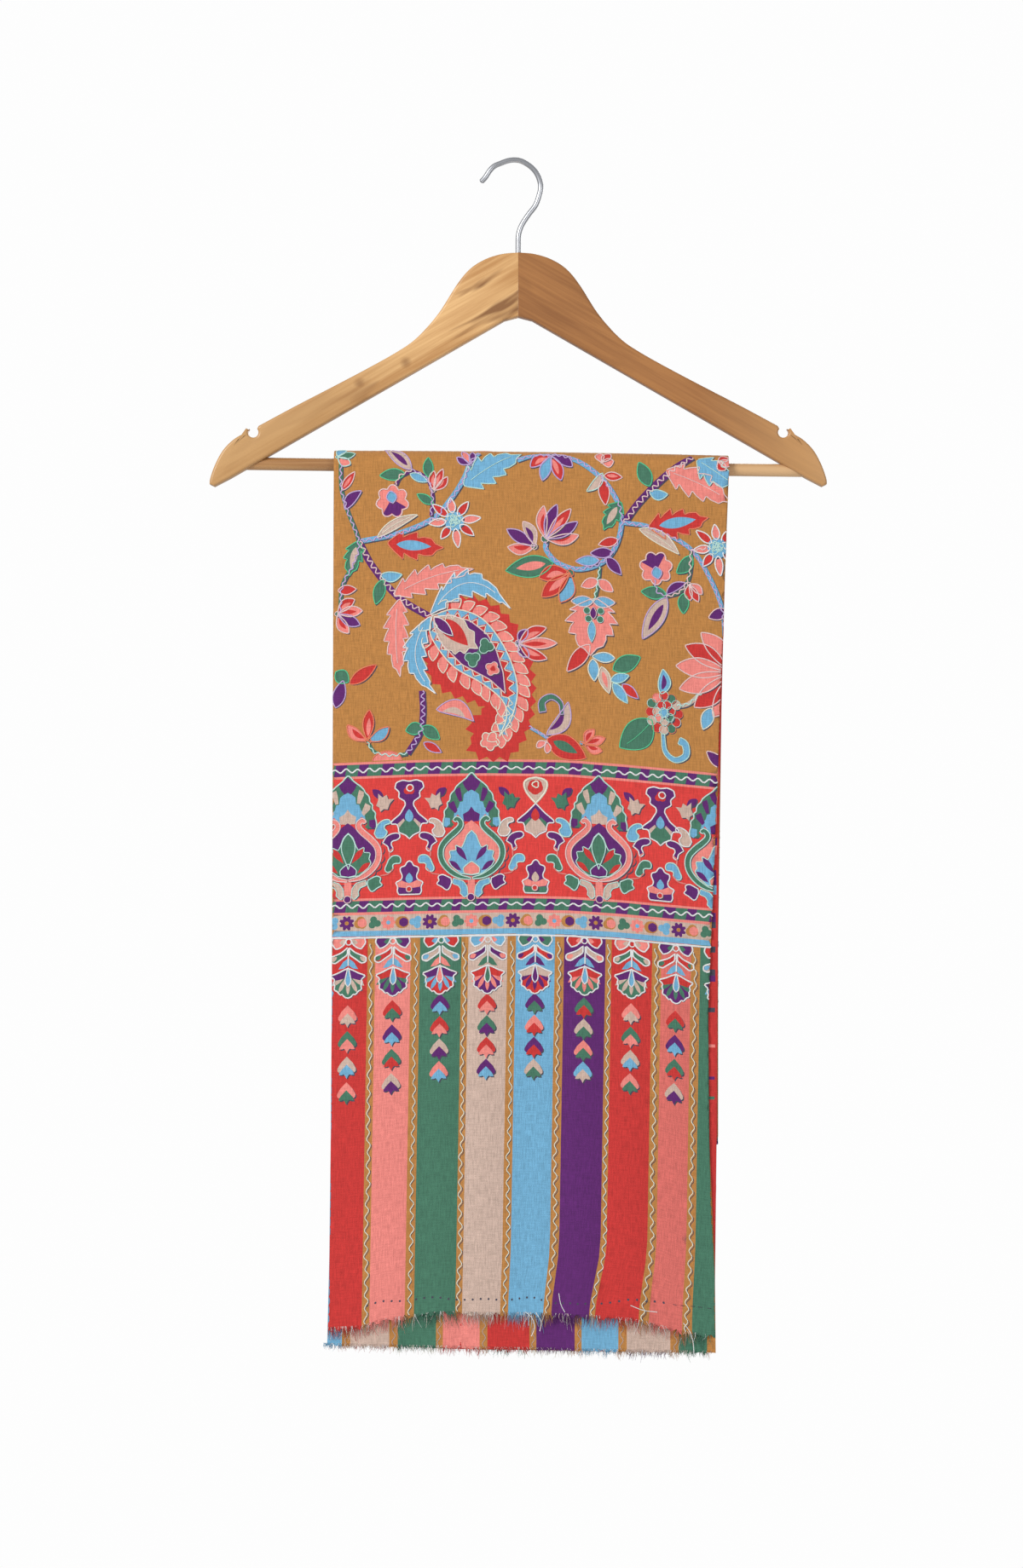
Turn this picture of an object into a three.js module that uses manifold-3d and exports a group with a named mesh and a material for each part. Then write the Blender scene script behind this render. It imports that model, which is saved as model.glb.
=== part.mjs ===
// A pashmina shawl folded in quarters, doubled end to end, and hung over the bar of a wooden
// clothes hanger. Millimetres, +Z up, the shawl's front faces -Y. The origin is the point
// inside the bend of the hook that rests on the peg or rail.
import * as THREE from "three";
import { mergeVertices } from "three/addons/utils/BufferGeometryUtils.js";
import Module from "manifold-3d";

const wasm = await Module();
wasm.setup();

const GAP = 0.3; // clearance between neighbouring pieces

// Hanger: two arms glued at a mitre, a bar between their ends and a wire hook
const HANGER_X = 3.3; // the mitre and the hook's shank
const ARM_TOP_Z = -59.3;
const ARM_THICKNESS = 12;
const ARM_ROUNDING = 1.8;
const MITRE_HEIGHT = 42;
const UNDERSIDE_PITCH = 0.5755; // fall of the underside for each millimetre outwards
const UNDERSIDE_START = 39.2; // where that line meets the mitre, below the top
const NOTCH = { out: 173.1, drop: 117.6, radius: 3.4 };
const BAR_RADIUS = 4.15;
const BAR_REACH = 191; // from the mitre to each end of the bar
const BAR_Z = -199.3;
const BAR_TILT = 0.0126; // fall of the bar for each millimetre to the right
const WIRE_RADIUS = 1.75;
const BEND_RADIUS = 17.5;
const BEND_X = 0.5;
const SHANK_DEPTH = 18; // length of the shank inside the wood

// Upper edge of an arm: distance out from the mitre, drop below the top
const ARM_TOP_EDGE = [
  { out: 0, drop: 0 },
  { out: 11, drop: 1.1 },
  { out: 22, drop: 4.7 },
  { out: 31.7, drop: 11 },
  { out: 40, drop: 21 },
  { out: 50.6, drop: 37.8 },
  { out: 59.5, drop: 48.9 },
  { out: 69, drop: 58.2 },
  { out: 81, drop: 66.1 },
  { out: 98, drop: 75.6 },
  { out: 119, drop: 86.7 },
  { out: 146.8, drop: 101.1 },
  { out: 169.6, drop: 113.4 },
];
// Rounded shoulder from the notch to the tip
const ARM_SHOULDER = [
  { out: 178.5, drop: 117.8 },
  { out: 186, drop: 122.3 },
  { out: 192.8, drop: 129.2 },
  { out: 197.9, drop: 138.4 },
  { out: 201.2, drop: 147.6 },
  { out: 201.6, drop: 151.4 },
];
const ARM_TIP = { out: 198.6, drop: 152.9 };

// Hook's wire: the flared tip, then the bend, then the shank
const HOOK_TIP = [
  { x: -21.2, z: -12.9 },
  { x: -18.3, z: -9.8 },
  { x: -15.4, z: -5.4 },
  { x: -12.3, z: -2.3 },
];
const BEND_FROM = 118; // degrees round the bend's centre, measured from +X
const BEND_TO = -18;
const HOOK_SHANK = [
  { x: 14.7, z: -27.8 },
  { x: 9.8, z: -34.4 },
  { x: 5.6, z: -41 },
  { x: 3.6, z: -47 },
];

// Cloth: offsets are measured outwards from the bar's surface, through the stack of leaves
const LEAF = 1; // wall of one leaf
const INNER_LEAVES = 1.4; // wall of the pressed, hidden leaves
const REAR_OFFSET = 0.8; // mid-surfaces of the leaves, from the bar outwards
const INNER_OFFSET = 2.3;
const SECOND_OFFSET = 3.8;
const FACE_OFFSET = 5.1;
const LOOP_OFFSET = (REAR_OFFSET + FACE_OFFSET) / 2;
const LOOP_DROP = 440; // from the bar down to the centre of the loop behind
const LOFT = 0.16; // how much fuller the stack is in the middle of its width
const PINCH = 2.4; // how far each panel swings in under the bar
const PINCH_LENGTH = 150;
const STRIPE_PITCH = 30.2; // woven stripes of the end panels
const FIRST_COLUMN = -107.7;
const COLUMNS = 16; // two to a stripe
const CENTRE_X = 11.5; // middle of the folded width
const HALF_WIDTH = 129;
const FRONT_LEVELS = [45, 110, 200, 300, 400, 480, 540];
const BACK_LEVELS = [45, 110, 200, 320, 425];
const ARC_STEPS = 7; // over the bar
const LOOP_STEPS = 5;
const ROLL_STEPS = 4; // round a lengthwise fold

// Side edges of the two panels, by the drop below the bar: the quarter fold on the left, the
// centre fold and the loose selvedges on the right
const FRONT_EDGES = [
  { drop: 0, left: -117.0, right: 140.8, selvedge: 140.2 },
  { drop: 121, left: -117.6, right: 136.2, selvedge: 136.9 },
  { drop: 230, left: -118.0, right: 132.3, selvedge: 134.4 },
  { drop: 352, left: -118.5, right: 127.4, selvedge: 133.5 },
  { drop: 440, left: -119.2, right: 128.2, selvedge: 132.9 },
  { drop: 519, left: -120.1, right: 131.7, selvedge: 132.0 },
  { drop: 580, left: -121.6, right: 132.3, selvedge: 131.3 },
];
const BACK_EDGES = [
  { drop: 0, left: -117.0, right: 140.8, selvedge: 140.2 },
  { drop: 129, left: -117.4, right: 137.0, selvedge: 136.2 },
  { drop: 311, left: -118.0, right: 134.4, selvedge: 133.8 },
  { drop: 443, left: -118.6, right: 134.4, selvedge: 133.8 },
];
const FOLD_INSET = 2.4; // from the quarter fold to the leaves that lie within it
const REAR_TUCK = 2.5; // how far the rear leaf's right edge stays inside the selvedges
const WIDEST = [-122, 141];

// Hems: drop below the bar along the width
const FRONT_HEM = [
  { x: -122, drop: 560 },
  { x: -92, drop: 559 },
  { x: -47, drop: 550.5 },
  { x: 20, drop: 551.5 },
  { x: 77, drop: 557.5 },
  { x: 133, drop: 566 },
];
const SECOND_HEM = [
  { x: -122, drop: 575.5 },
  { x: 133, drop: 577.5 },
];
const INNER_HEM = [
  { x: -122, drop: 574 },
  { x: -40, drop: 577 },
  { x: 133, drop: 577.5 },
];
const REAR_HEM = [
  { x: -122, drop: 570 },
  { x: 133, drop: 573.5 },
];

// Soft folds of the hanging panels: a row for each, with the x of its line, its spread and
// rise, and the drops where it starts and is full
const FRONT_FOLDS = [
  { across: -118, spread: 12, rise: -1.2, from: 40, full: 420 },
  { across: -84, spread: 17, rise: 0.9, from: 260, full: 500 },
  { across: -62, spread: 9, rise: -0.7, from: 300, full: 380 },
  { across: -33, spread: 9, rise: -1.1, from: 290, full: 350 },
  { across: -16, spread: 16, rise: 1.0, from: 200, full: 520 },
  { across: 8, spread: 12, rise: -0.9, from: 20, full: 150 },
  { across: 30, spread: 9, rise: -0.9, from: 300, full: 420 },
  { across: 46, spread: 15, rise: 1.1, from: 180, full: 480 },
  { across: 61, spread: 8, rise: -0.8, from: 320, full: 400 },
  { across: 76, spread: 16, rise: 1.2, from: 330, full: 540 },
  { across: 90, spread: 9, rise: -0.8, from: 320, full: 430 },
  { across: 122, spread: 15, rise: -1.4, from: 60, full: 380 },
];
const BACK_FOLDS = [
  { across: -92, spread: 24, rise: 1.0, from: 60, full: 320 },
  { across: -40, spread: 15, rise: -0.8, from: 40, full: 260 },
  { across: 5, spread: 20, rise: 1.1, from: 120, full: 420 },
  { across: 52, spread: 16, rise: -0.9, from: 60, full: 300 },
  { across: 100, spread: 22, rise: 0.9, from: 90, full: 380 },
];

// Frayed hems: locks of warp left beyond the last weft
const FRINGE_STRIP = 1.2; // length of the strip that the locks hang from
const FRINGE_WALL = 0.7;
const LOCK_ROOT = 2.6; // widths of a lock
const LOCK_TIP = 1.1;
const FRINGES = [
  {
    name: "fringe_front",
    table: FRONT_HEM,
    offset: FACE_OFFSET,
    locks: 40,
    length: 6.2,
    side: "fold",
    inset: 2.5,
  },
  {
    name: "fringe_second",
    table: SECOND_HEM,
    offset: SECOND_OFFSET,
    locks: 38,
    length: 3.2,
    side: "fold",
    inset: 1.5,
  },
  {
    name: "fringe_third",
    table: INNER_HEM,
    offset: INNER_OFFSET,
    locks: 38,
    length: 3.4,
    side: "selvedge",
    inset: 1,
  },
  {
    name: "fringe_rear",
    table: REAR_HEM,
    offset: REAR_OFFSET,
    locks: 38,
    length: 5,
    side: "selvedge",
    inset: 4,
  },
];

const WOOD = { color: 0xb98345, roughness: 0.5, metalness: 0 };
const CHROME = { color: 0xc9ccd2, roughness: 0.15, metalness: 1 };
const CLOTH = { color: 0xa8743a, roughness: 0.9, metalness: 0 };
const REVERSE = { color: 0x6fa8c9, roughness: 0.9, metalness: 0 };
const SELVEDGE = { color: 0xc93a3a, roughness: 0.9, metalness: 0 };
const FRAYED = { color: 0xd8837a, roughness: 0.95, metalness: 0 };

// A value of one column of a table, straight between its rows and level beyond them.
function between(table, key, column, at) {
  const last = table[table.length - 1];
  if (at <= table[0][key]) return table[0][column];
  if (at >= last[key]) return last[column];
  const i = table.findIndex((row) => row[key] > at);
  const [a, b] = [table[i - 1], table[i]];
  const share = (at - a[key]) / (b[key] - a[key]);
  return a[column] + share * (b[column] - a[column]);
}


// A closed solid from a closed geometry.
function solid(geometry) {
  const bare = geometry.clone();
  bare.deleteAttribute("normal");
  bare.deleteAttribute("uv");
  const merged = mergeVertices(bare, 1e-4);
  return new wasm.Manifold(
    new wasm.Mesh({
      numProp: 3,
      vertProperties: new Float32Array(merged.attributes.position.array),
      triVerts: new Uint32Array(merged.index.array),
    }),
  );
}

// The geometry of a solid.
function geometryOf(body) {
  const mesh = body.getMesh();
  const geometry = new THREE.BufferGeometry();
  const position = new THREE.BufferAttribute(mesh.vertProperties, 3);
  geometry.setAttribute("position", position);
  geometry.setIndex(new THREE.BufferAttribute(mesh.triVerts, 1));
  return geometry;
}

// A named mesh with its own material, with flat facets.
function piece(name, geometry, finish) {
  const facets = geometry.index ? geometry.toNonIndexed() : geometry;
  facets.computeVertexNormals();
  const material = new THREE.MeshStandardMaterial(finish);
  const mesh = new THREE.Mesh(facets, material);
  mesh.name = name;
  return mesh;
}

// A geometry from points and triangles, turned to face out.
function closedGeometry(points, triangles) {
  const volume = triangles.reduce((sum, [a, b, c]) => {
    const cross = new THREE.Vector3().crossVectors(points[b], points[c]);
    return sum + points[a].dot(cross);
  }, 0);
  const faces = volume < 0 ? triangles.map(([a, b, c]) => [a, c, b]) : triangles;
  const geometry = new THREE.BufferGeometry().setFromPoints(points);
  geometry.setIndex(faces.flat());
  return geometry;
}

// Height of the bar's axis at x: it hangs a little lower on the right.
const barHeight = (x) => BAR_Z - BAR_TILT * (x - HANGER_X);

// One arm: side is -1 on the left and +1 on the right.
function arm(side) {
  const at = ({ out, drop }) => new THREE.Vector2(side * out, -drop);
  const smooth = (table) =>
    new THREE.SplineCurve(table.map(at)).getPoints(2 * (table.length - 1));
  const inset = -2 * ARM_ROUNDING; // past the mitre, and cut back to it below
  const low = (out) => ({ out, drop: UNDERSIDE_START + UNDERSIDE_PITCH * out });
  const outline = [
    at({ out: inset, drop: 0 }),
    ...smooth(ARM_TOP_EDGE),
    ...smooth(ARM_SHOULDER),
    at(ARM_TIP),
    at(low(188)),
    at(low(9)),
    at({ out: 0, drop: MITRE_HEIGHT }),
    at({ out: inset, drop: MITRE_HEIGHT }),
  ];
  const blank = new THREE.ExtrudeGeometry(new THREE.Shape(outline), {
    depth: ARM_THICKNESS - 2 * ARM_ROUNDING,
    bevelThickness: ARM_ROUNDING,
    bevelSize: ARM_ROUNDING,
    bevelOffset: -ARM_ROUNDING,
    bevelSegments: 2,
  });
  blank.rotateX(Math.PI / 2);
  blank.translate(HANGER_X, ARM_THICKNESS / 2 - ARM_ROUNDING, ARM_TOP_Z);

  const across = 40; // wide enough to cut right through the arm
  const mitre = new THREE.BoxGeometry(across, across, 3 * across);
  mitre.translate(
    HANGER_X - side * (across / 2 - GAP / 2),
    0,
    ARM_TOP_Z - MITRE_HEIGHT / 2,
  );
  const notch = new THREE.CylinderGeometry(NOTCH.radius, NOTCH.radius, across, 20);
  notch.translate(HANGER_X + side * NOTCH.out, 0, ARM_TOP_Z - NOTCH.drop);
  const shank = new THREE.CylinderGeometry(
    WIRE_RADIUS + GAP,
    WIRE_RADIUS + GAP,
    2 * (SHANK_DEPTH + GAP),
    16,
  );
  shank.rotateX(Math.PI / 2);
  shank.translate(HANGER_X, 0, ARM_TOP_Z);
  const bore = barGeometry(BAR_RADIUS + GAP, BAR_REACH + GAP, 16);
  const body = [mitre, notch, shank, bore].reduce(
    (left, cutter) => left.subtract(solid(cutter)),
    solid(blank),
  );
  return geometryOf(body);
}

// The bar, or the bore that holds it, as a cylinder along the tilted axis.
function barGeometry(radius, reach, sides) {
  const length = 2 * reach * Math.hypot(1, BAR_TILT);
  const bar = new THREE.CylinderGeometry(radius, radius, length, sides);
  bar.rotateZ(Math.PI / 2);
  bar.rotateY(Math.atan(BAR_TILT));
  bar.translate(HANGER_X, 0, BAR_Z);
  return bar;
}

// The hook: round wire along its route.
function hook() {
  const bend = Array.from({ length: 9 }, (_, i) => {
    const angle = (BEND_FROM + (i / 8) * (BEND_TO - BEND_FROM)) * (Math.PI / 180);
    return {
      x: BEND_X + BEND_RADIUS * Math.cos(angle),
      z: WIRE_RADIUS - BEND_RADIUS + BEND_RADIUS * Math.sin(angle),
    };
  });
  const shank = [
    { x: HANGER_X, z: -54 },
    { x: HANGER_X, z: ARM_TOP_Z },
    { x: HANGER_X, z: ARM_TOP_Z - SHANK_DEPTH },
  ];
  const route = [...HOOK_TIP, ...bend, ...HOOK_SHANK, ...shank];
  const path = new THREE.CatmullRomCurve3(
    route.map(({ x, z }) => new THREE.Vector3(x, 0, z)),
    false,
    "centripetal",
  );
  const round = new THREE.Shape().absarc(0, 0, WIRE_RADIUS, 0, 2 * Math.PI);
  return new THREE.ExtrudeGeometry(round, {
    steps: 44,
    curveSegments: 4,
    extrudePath: path,
  });
}

// Positions across the width that every leaf shares, so that leaves bend alike.
const columns = Array.from(
  { length: COLUMNS },
  (_, i) => FIRST_COLUMN + (i * STRIPE_PITCH) / 2,
);

const nodes = [WIDEST[0], ...columns, WIDEST[1]];

// A function of x, taken at the shared positions and straight between them.
function across(x, value) {
  const i = THREE.MathUtils.clamp(nodes.findIndex((node) => node > x), 1, nodes.length - 1);
  const [a, b] = [nodes[i - 1], nodes[i]];
  const share = THREE.MathUtils.clamp((x - a) / (b - a), 0, 1);
  return (1 - share) * value(a) + share * value(b);
}

// How far a panel stands off its flat hang at x and a drop below the bar.
const relief = (folds, x, drop) =>
  across(x, (node) =>
    folds.reduce((sum, fold) => {
      const ease = THREE.MathUtils.smoothstep(drop, fold.from, fold.full);
      const bell = Math.exp(-(((node - fold.across) / fold.spread) ** 2));
      return sum + fold.rise * ease * bell;
    }, 0),
  );

// An offset in the stack, made fuller towards the middle of the width.
const lofted = (n, x) =>
  n * across(x, (node) => 1 + LOFT * (1 - ((node - CENTRE_X) / HALF_WIDTH) ** 2));

const hem = (table) => (x) => across(x, (node) => between(table, "x", "drop", node));

const pinch = (drop) => PINCH * THREE.MathUtils.smoothstep(drop, 0, PINCH_LENGTH);

// A place on the front panel: offset n in the stack, at a drop below the bar.
function frontPoint(x, n, drop) {
  const level = Math.min(drop, FRONT_LEVELS[FRONT_LEVELS.length - 1]);
  const out = BAR_RADIUS + lofted(n, x) - pinch(drop);
  return new THREE.Vector3(
    x,
    -out - relief(FRONT_FOLDS, x, level),
    barHeight(x) - drop,
  );
}

// A place on the back panel.
function backPoint(x, n, drop) {
  const out = BAR_RADIUS + lofted(n, x) - pinch(drop);
  return new THREE.Vector3(
    x,
    out + relief(BACK_FOLDS, x, drop),
    barHeight(x) - drop,
  );
}

// A place over the bar: turn goes from 0 at the front to 1 behind.
function topPoint(x, n, turn) {
  const radius = BAR_RADIUS + lofted(n, x);
  return new THREE.Vector3(
    x,
    -radius * Math.cos(Math.PI * turn),
    barHeight(x) + radius * Math.sin(Math.PI * turn),
  );
}

// A place round the loop at the bottom of the back panel: turn goes from 0 outside to 1 inside.
function loopPoint(x, n, turn) {
  const centre = backPoint(x, LOOP_OFFSET, LOOP_DROP);
  const radius = lofted(n, x) - lofted(LOOP_OFFSET, x);
  centre.y += radius * Math.cos(Math.PI * turn);
  centre.z -= radius * Math.sin(Math.PI * turn);
  return centre;
}

// A station is a cross-section's place along the cloth: its side edges and its mapping.
const stationAt = (edges, drop, place) => ({
  left: between(edges, "drop", "left", drop),
  right: between(edges, "drop", "right", drop),
  selvedge: between(edges, "drop", "selvedge", drop),
  place,
});

// Stations from a hem up the front, over the bar and down the back to the loop.
function overBar(hemDrop) {
  const bottom = stationAt(FRONT_EDGES, hemDrop(CENTRE_X), (x, n) =>
    frontPoint(x, n, hemDrop(x)),
  );
  const front = [...FRONT_LEVELS].reverse().map((drop) =>
    stationAt(FRONT_EDGES, drop, (x, n) => frontPoint(x, n, drop)),
  );
  const top = Array.from({ length: ARC_STEPS + 1 }, (_, i) =>
    stationAt(FRONT_EDGES, 0, (x, n) => topPoint(x, n, i / ARC_STEPS)),
  );
  const back = [...BACK_LEVELS, LOOP_DROP].map((drop) =>
    stationAt(BACK_EDGES, drop, (x, n) => backPoint(x, n, drop)),
  );
  return [bottom, ...front, ...top, ...back];
}

// Stations of the leaf that wraps the rest: front hem to loop, and back again inside.
function wrapStations() {
  const loop = Array.from({ length: LOOP_STEPS - 1 }, (_, i) =>
    stationAt(BACK_EDGES, LOOP_DROP, (x, n) => loopPoint(x, n, (i + 1) / LOOP_STEPS)),
  );
  const inside = overBar(hem(REAR_HEM))
    .reverse()
    .map(({ left, selvedge, place }) => ({
      left,
      right: selvedge - REAR_TUCK,
      place: (x, n) => place(x, 2 * LOOP_OFFSET - n),
    }));
  return [...overBar(hem(FRONT_HEM)), ...loop, ...inside];
}

// A line of a section: points across the width with the way that their face looks.
const flatLine = (from, to, n, face) =>
  [from, ...columns, to].map((x) => ({ x, n, dx: 0, dn: face }));

// Half a turn round a lengthwise fold, from one leaf's level to the next.
// side is -1 for a fold on the left and +1 on the right.
function roll(edge, side, low, high) {
  const radius = (high - low) / 2;
  const centre = edge - side * (radius + LEAF / 2);
  return Array.from({ length: ROLL_STEPS + 1 }, (_, i) => {
    const angle = Math.PI * (i / ROLL_STEPS - 0.5);
    const [dx, dn] = [side * Math.cos(angle), Math.sin(angle)];
    return { x: centre + radius * dx, n: (low + high) / 2 + radius * dn, dx, dn };
  });
}

// The closed outline of a wall along a line: its outer points, then its inner ones back.
function wallOutline(line) {
  const side = (way) =>
    line.map(({ x, n, dx, dn }) => [x + (way * dx * LEAF) / 2, n + (way * dn * LEAF) / 2]);
  return [...side(1), ...side(-1).reverse()];
}

// The wrapping leaf: rolled at its left edge, where the quarter fold is.
function wrapSection({ left, right }) {
  const low = LOOP_OFFSET + GAP / 2 + LEAF / 2;
  const fold = roll(left, -1, low, FACE_OFFSET);
  const end = right - (FACE_OFFSET - SECOND_OFFSET + LEAF) / 2 - GAP;
  const flat = flatLine(fold[ROLL_STEPS].x, end, FACE_OFFSET, 1);
  return wallOutline([...fold, ...flat.slice(1)]);
}

// The second leaf: its right edge rolls forward to meet the front one at the centre fold.
function secondSection({ left, right }) {
  const fold = roll(right, 1, SECOND_OFFSET, FACE_OFFSET);
  const flat = flatLine(left + FOLD_INSET, fold[0].x, SECOND_OFFSET, -1);
  return wallOutline([...flat.slice(0, -1), ...fold]);
}

// The hidden leaves, pressed into one, with a groove between them at the selvedges.
function innerSection({ left, selvedge }) {
  const half = INNER_LEAVES / 2;
  const [groove, step] = [1.6, 0.5];
  const start = left + FOLD_INSET;
  return [
    ...[start, ...columns, selvedge].map((x) => [x, INNER_OFFSET + half]),
    [selvedge, INNER_OFFSET + 0.15],
    [selvedge - groove, INNER_OFFSET],
    [selvedge - step, INNER_OFFSET - 0.15],
    ...[selvedge - step, ...[...columns].reverse(), start].map((x) => [
      x,
      INNER_OFFSET - half,
    ]),
  ];
}

// Two triangles over a quad, split the same way on every leaf so that neighbours stay apart.
function quad(points, a, b, c, d) {
  const [p, q] = [points[a], points[d]];
  const rising = (q.x - p.x) * (q.z - p.z) > 0;
  return rising
    ? [
        [a, b, d],
        [a, d, c],
      ]
    : [
        [a, b, c],
        [b, d, c],
      ];
}

// A solid swept through stations, each with its section as a closed ring, capped at the ends.
function loft(stations, section) {
  const outlines = stations.map(section);
  const size = outlines[0].length;
  const points = stations.flatMap(({ place }, i) =>
    outlines[i].map(([x, n]) => place(x, n)),
  );
  const triangles = [];
  for (let i = 0; i + 1 < stations.length; i += 1) {
    for (let j = 0; j < size; j += 1) {
      const [a, b] = [i * size + j, i * size + ((j + 1) % size)];
      triangles.push(...quad(points, a, b, a + size, b + size));
    }
  }
  const last = points.length - size;
  for (let j = 0; 2 * j + 2 < size; j += 1) {
    const [a, b, c, d] = [j, j + 1, size - 1 - j, size - 2 - j];
    triangles.push([a, c, b], [last + a, last + b, last + c]);
    if (b !== d) triangles.push([b, c, d], [last + b, last + d, last + c]);
  }
  return closedGeometry(points, triangles);
}

// A frayed hem: a narrow strip just below the cloth's edge, with tapering locks.
function fringe({ locks, length, offset, hemDrop, from, to }) {
  const pitch = (to - from) / locks;
  // each row of four: strip's top, strip's bottom, at the sides of a lock's root
  const outline = [];
  const tips = [];
  for (let i = 0; i < locks; i += 1) {
    const middle = from + (i + 0.5) * pitch;
    const lean = 0.9 * Math.sin(2.4 * i);
    const reach = FRINGE_STRIP + length * (0.86 + 0.14 * Math.sin(5.3 * i));
    outline.push(middle - LOCK_ROOT / 2, middle + LOCK_ROOT / 2);
    tips.push([middle - LOCK_TIP / 2 + lean, reach], [middle + LOCK_TIP / 2 + lean, reach]);
  }
  const rows = [
    outline.map((x) => [x, 0]),
    outline.map((x) => [x, FRINGE_STRIP]),
    tips,
  ];
  const size = outline.length;
  const points = [1, -1].flatMap((way) =>
    rows.flat().map(([x, down]) =>
      frontPoint(x, offset + (way * FRINGE_WALL) / 2, hemDrop(x) + GAP + down),
    ),
  );
  const behind = 3 * size;
  const triangles = [];
  const face = (a, b, c) => {
    triangles.push([a, b, c], [behind + a, behind + c, behind + b]);
  };
  const wall = (a, b) => {
    triangles.push([a, behind + a, b], [b, behind + a, behind + b]);
  };
  for (let i = 0; i + 1 < size; i += 1) {
    const [low, tip] = [size + i, 2 * size + i];
    face(i, low, i + 1);
    face(i + 1, low, low + 1);
    wall(i + 1, i);
    if (i % 2 === 0) {
      face(low, tip, low + 1);
      face(low + 1, tip, tip + 1);
      wall(low, tip);
      wall(tip, tip + 1);
      wall(tip + 1, low + 1);
    } else {
      wall(low, low + 1);
    }
  }
  wall(0, size);
  wall(2 * size - 1, size - 1);
  return closedGeometry(points, triangles);
}

// The span of a hem, a little inside the cloth's side edges.
function hemSpan(hemDrop, side, inset) {
  const { left, right, selvedge } = stationAt(FRONT_EDGES, hemDrop(CENTRE_X));
  return { from: left + FOLD_INSET, to: (side === "fold" ? right : selvedge) - inset };
}

const shawl = new THREE.Group();
shawl.add(
  piece("hanger_arm_left", arm(-1), WOOD),
  piece("hanger_arm_right", arm(1), WOOD),
  piece("hanger_bar", barGeometry(BAR_RADIUS, BAR_REACH, 24), WOOD),
  piece("hanger_hook", hook(), CHROME),
  piece("outer_leaf", loft(wrapStations(), wrapSection), CLOTH),
  piece("second_leaf", loft(overBar(hem(SECOND_HEM)), secondSection), REVERSE),
  piece("inner_leaves", loft(overBar(hem(INNER_HEM)), innerSection), SELVEDGE),
);
for (const { name, table, side, inset, ...row } of FRINGES) {
  const hemDrop = hem(table);
  const span = hemSpan(hemDrop, side, inset);
  shawl.add(piece(name, fringe({ ...row, ...span, hemDrop }), FRAYED));
}

export default shawl;
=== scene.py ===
"""Looks of a folded pashmina shawl hung over a wooden clothes hanger.

Everything is built in the part's own frame: millimetres in the tables, metres in the meshes,
+Z up and the shawl's front towards -Y. The cloth's design is drawn flat, in millimetres across
the folded shawl and up from its front hem, cut into the cloth's faces, and then draped.
"""

import sys

import logging
import math
from dataclasses import dataclass, field
from enum import Enum

import bmesh
import bpy
import numpy as np
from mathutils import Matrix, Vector
from mathutils.geometry import delaunay_2d_cdt

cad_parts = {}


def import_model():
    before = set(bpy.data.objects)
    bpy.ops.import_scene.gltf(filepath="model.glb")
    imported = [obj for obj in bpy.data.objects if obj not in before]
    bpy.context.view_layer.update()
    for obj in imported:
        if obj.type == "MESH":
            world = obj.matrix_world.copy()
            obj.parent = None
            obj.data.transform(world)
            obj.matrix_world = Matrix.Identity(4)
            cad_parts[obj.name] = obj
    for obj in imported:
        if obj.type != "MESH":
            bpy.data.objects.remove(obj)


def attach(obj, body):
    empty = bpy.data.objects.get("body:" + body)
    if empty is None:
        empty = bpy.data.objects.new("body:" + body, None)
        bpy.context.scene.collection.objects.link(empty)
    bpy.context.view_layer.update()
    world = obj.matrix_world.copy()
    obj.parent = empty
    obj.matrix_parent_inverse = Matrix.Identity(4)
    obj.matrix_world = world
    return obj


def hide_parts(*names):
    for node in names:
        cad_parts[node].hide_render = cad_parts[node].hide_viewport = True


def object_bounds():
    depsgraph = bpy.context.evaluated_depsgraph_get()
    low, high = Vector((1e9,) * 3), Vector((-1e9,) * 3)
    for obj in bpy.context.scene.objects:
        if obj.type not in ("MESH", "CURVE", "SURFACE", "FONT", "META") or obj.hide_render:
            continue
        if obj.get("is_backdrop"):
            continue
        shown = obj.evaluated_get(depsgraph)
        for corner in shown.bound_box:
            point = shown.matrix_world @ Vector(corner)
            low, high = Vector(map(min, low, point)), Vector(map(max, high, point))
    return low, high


Array = np.ndarray
Values = float | np.ndarray
Piece = bpy.types.Object
Material = bpy.types.Material
Socket = bpy.types.NodeSocket

log = logging.getLogger("shawl")
MM = 0.001
ROOT = "root"

# Hanger
HANGER_X = 3.3
BAR_RADIUS = 4.15
BAR_Z = -199.3
BAR_TILT = 0.0126
# Upper edge of an arm: distance out from the mitre, drop below the top
ARM_EDGE = (
    (0, 0), (11, 1.1), (22, 4.7), (31.7, 11), (40, 21), (50.6, 37.8), (59.5, 48.9), (69, 58.2), (81, 66.1),
    (98, 75.6), (119, 86.7), (146.8, 101.1), (169.6, 113.4),
)
ARM_SHOULDER = (
    (178.5, 117.8), (186, 122.3), (192.8, 129.2), (197.9, 138.4), (201.2, 147.6), (201.6, 151.4),
)
ARM_TIP = (198.6, 152.9)
# Route of the hook's wire: x, z
HOOK_ROUTE = (
    (-21.2, -12.9), (-18.3, -9.8), (-15.4, -5.4), (-12.3, -2.3), (-7.7, -0.3), (-3.6, 1.2), (0.5, 1.75),
    (4.8, 1.2), (9.0, -0.9), (13.0, -4.0), (16.0, -8.2), (17.7, -13.0), (18.0, -16.6), (17.1, -21.2),
    (14.7, -27.8), (9.8, -34.4), (5.6, -41.0), (3.6, -47.0), (3.3, -54.0), (3.3, -62.0), (3.3, -76.0),
)

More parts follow.
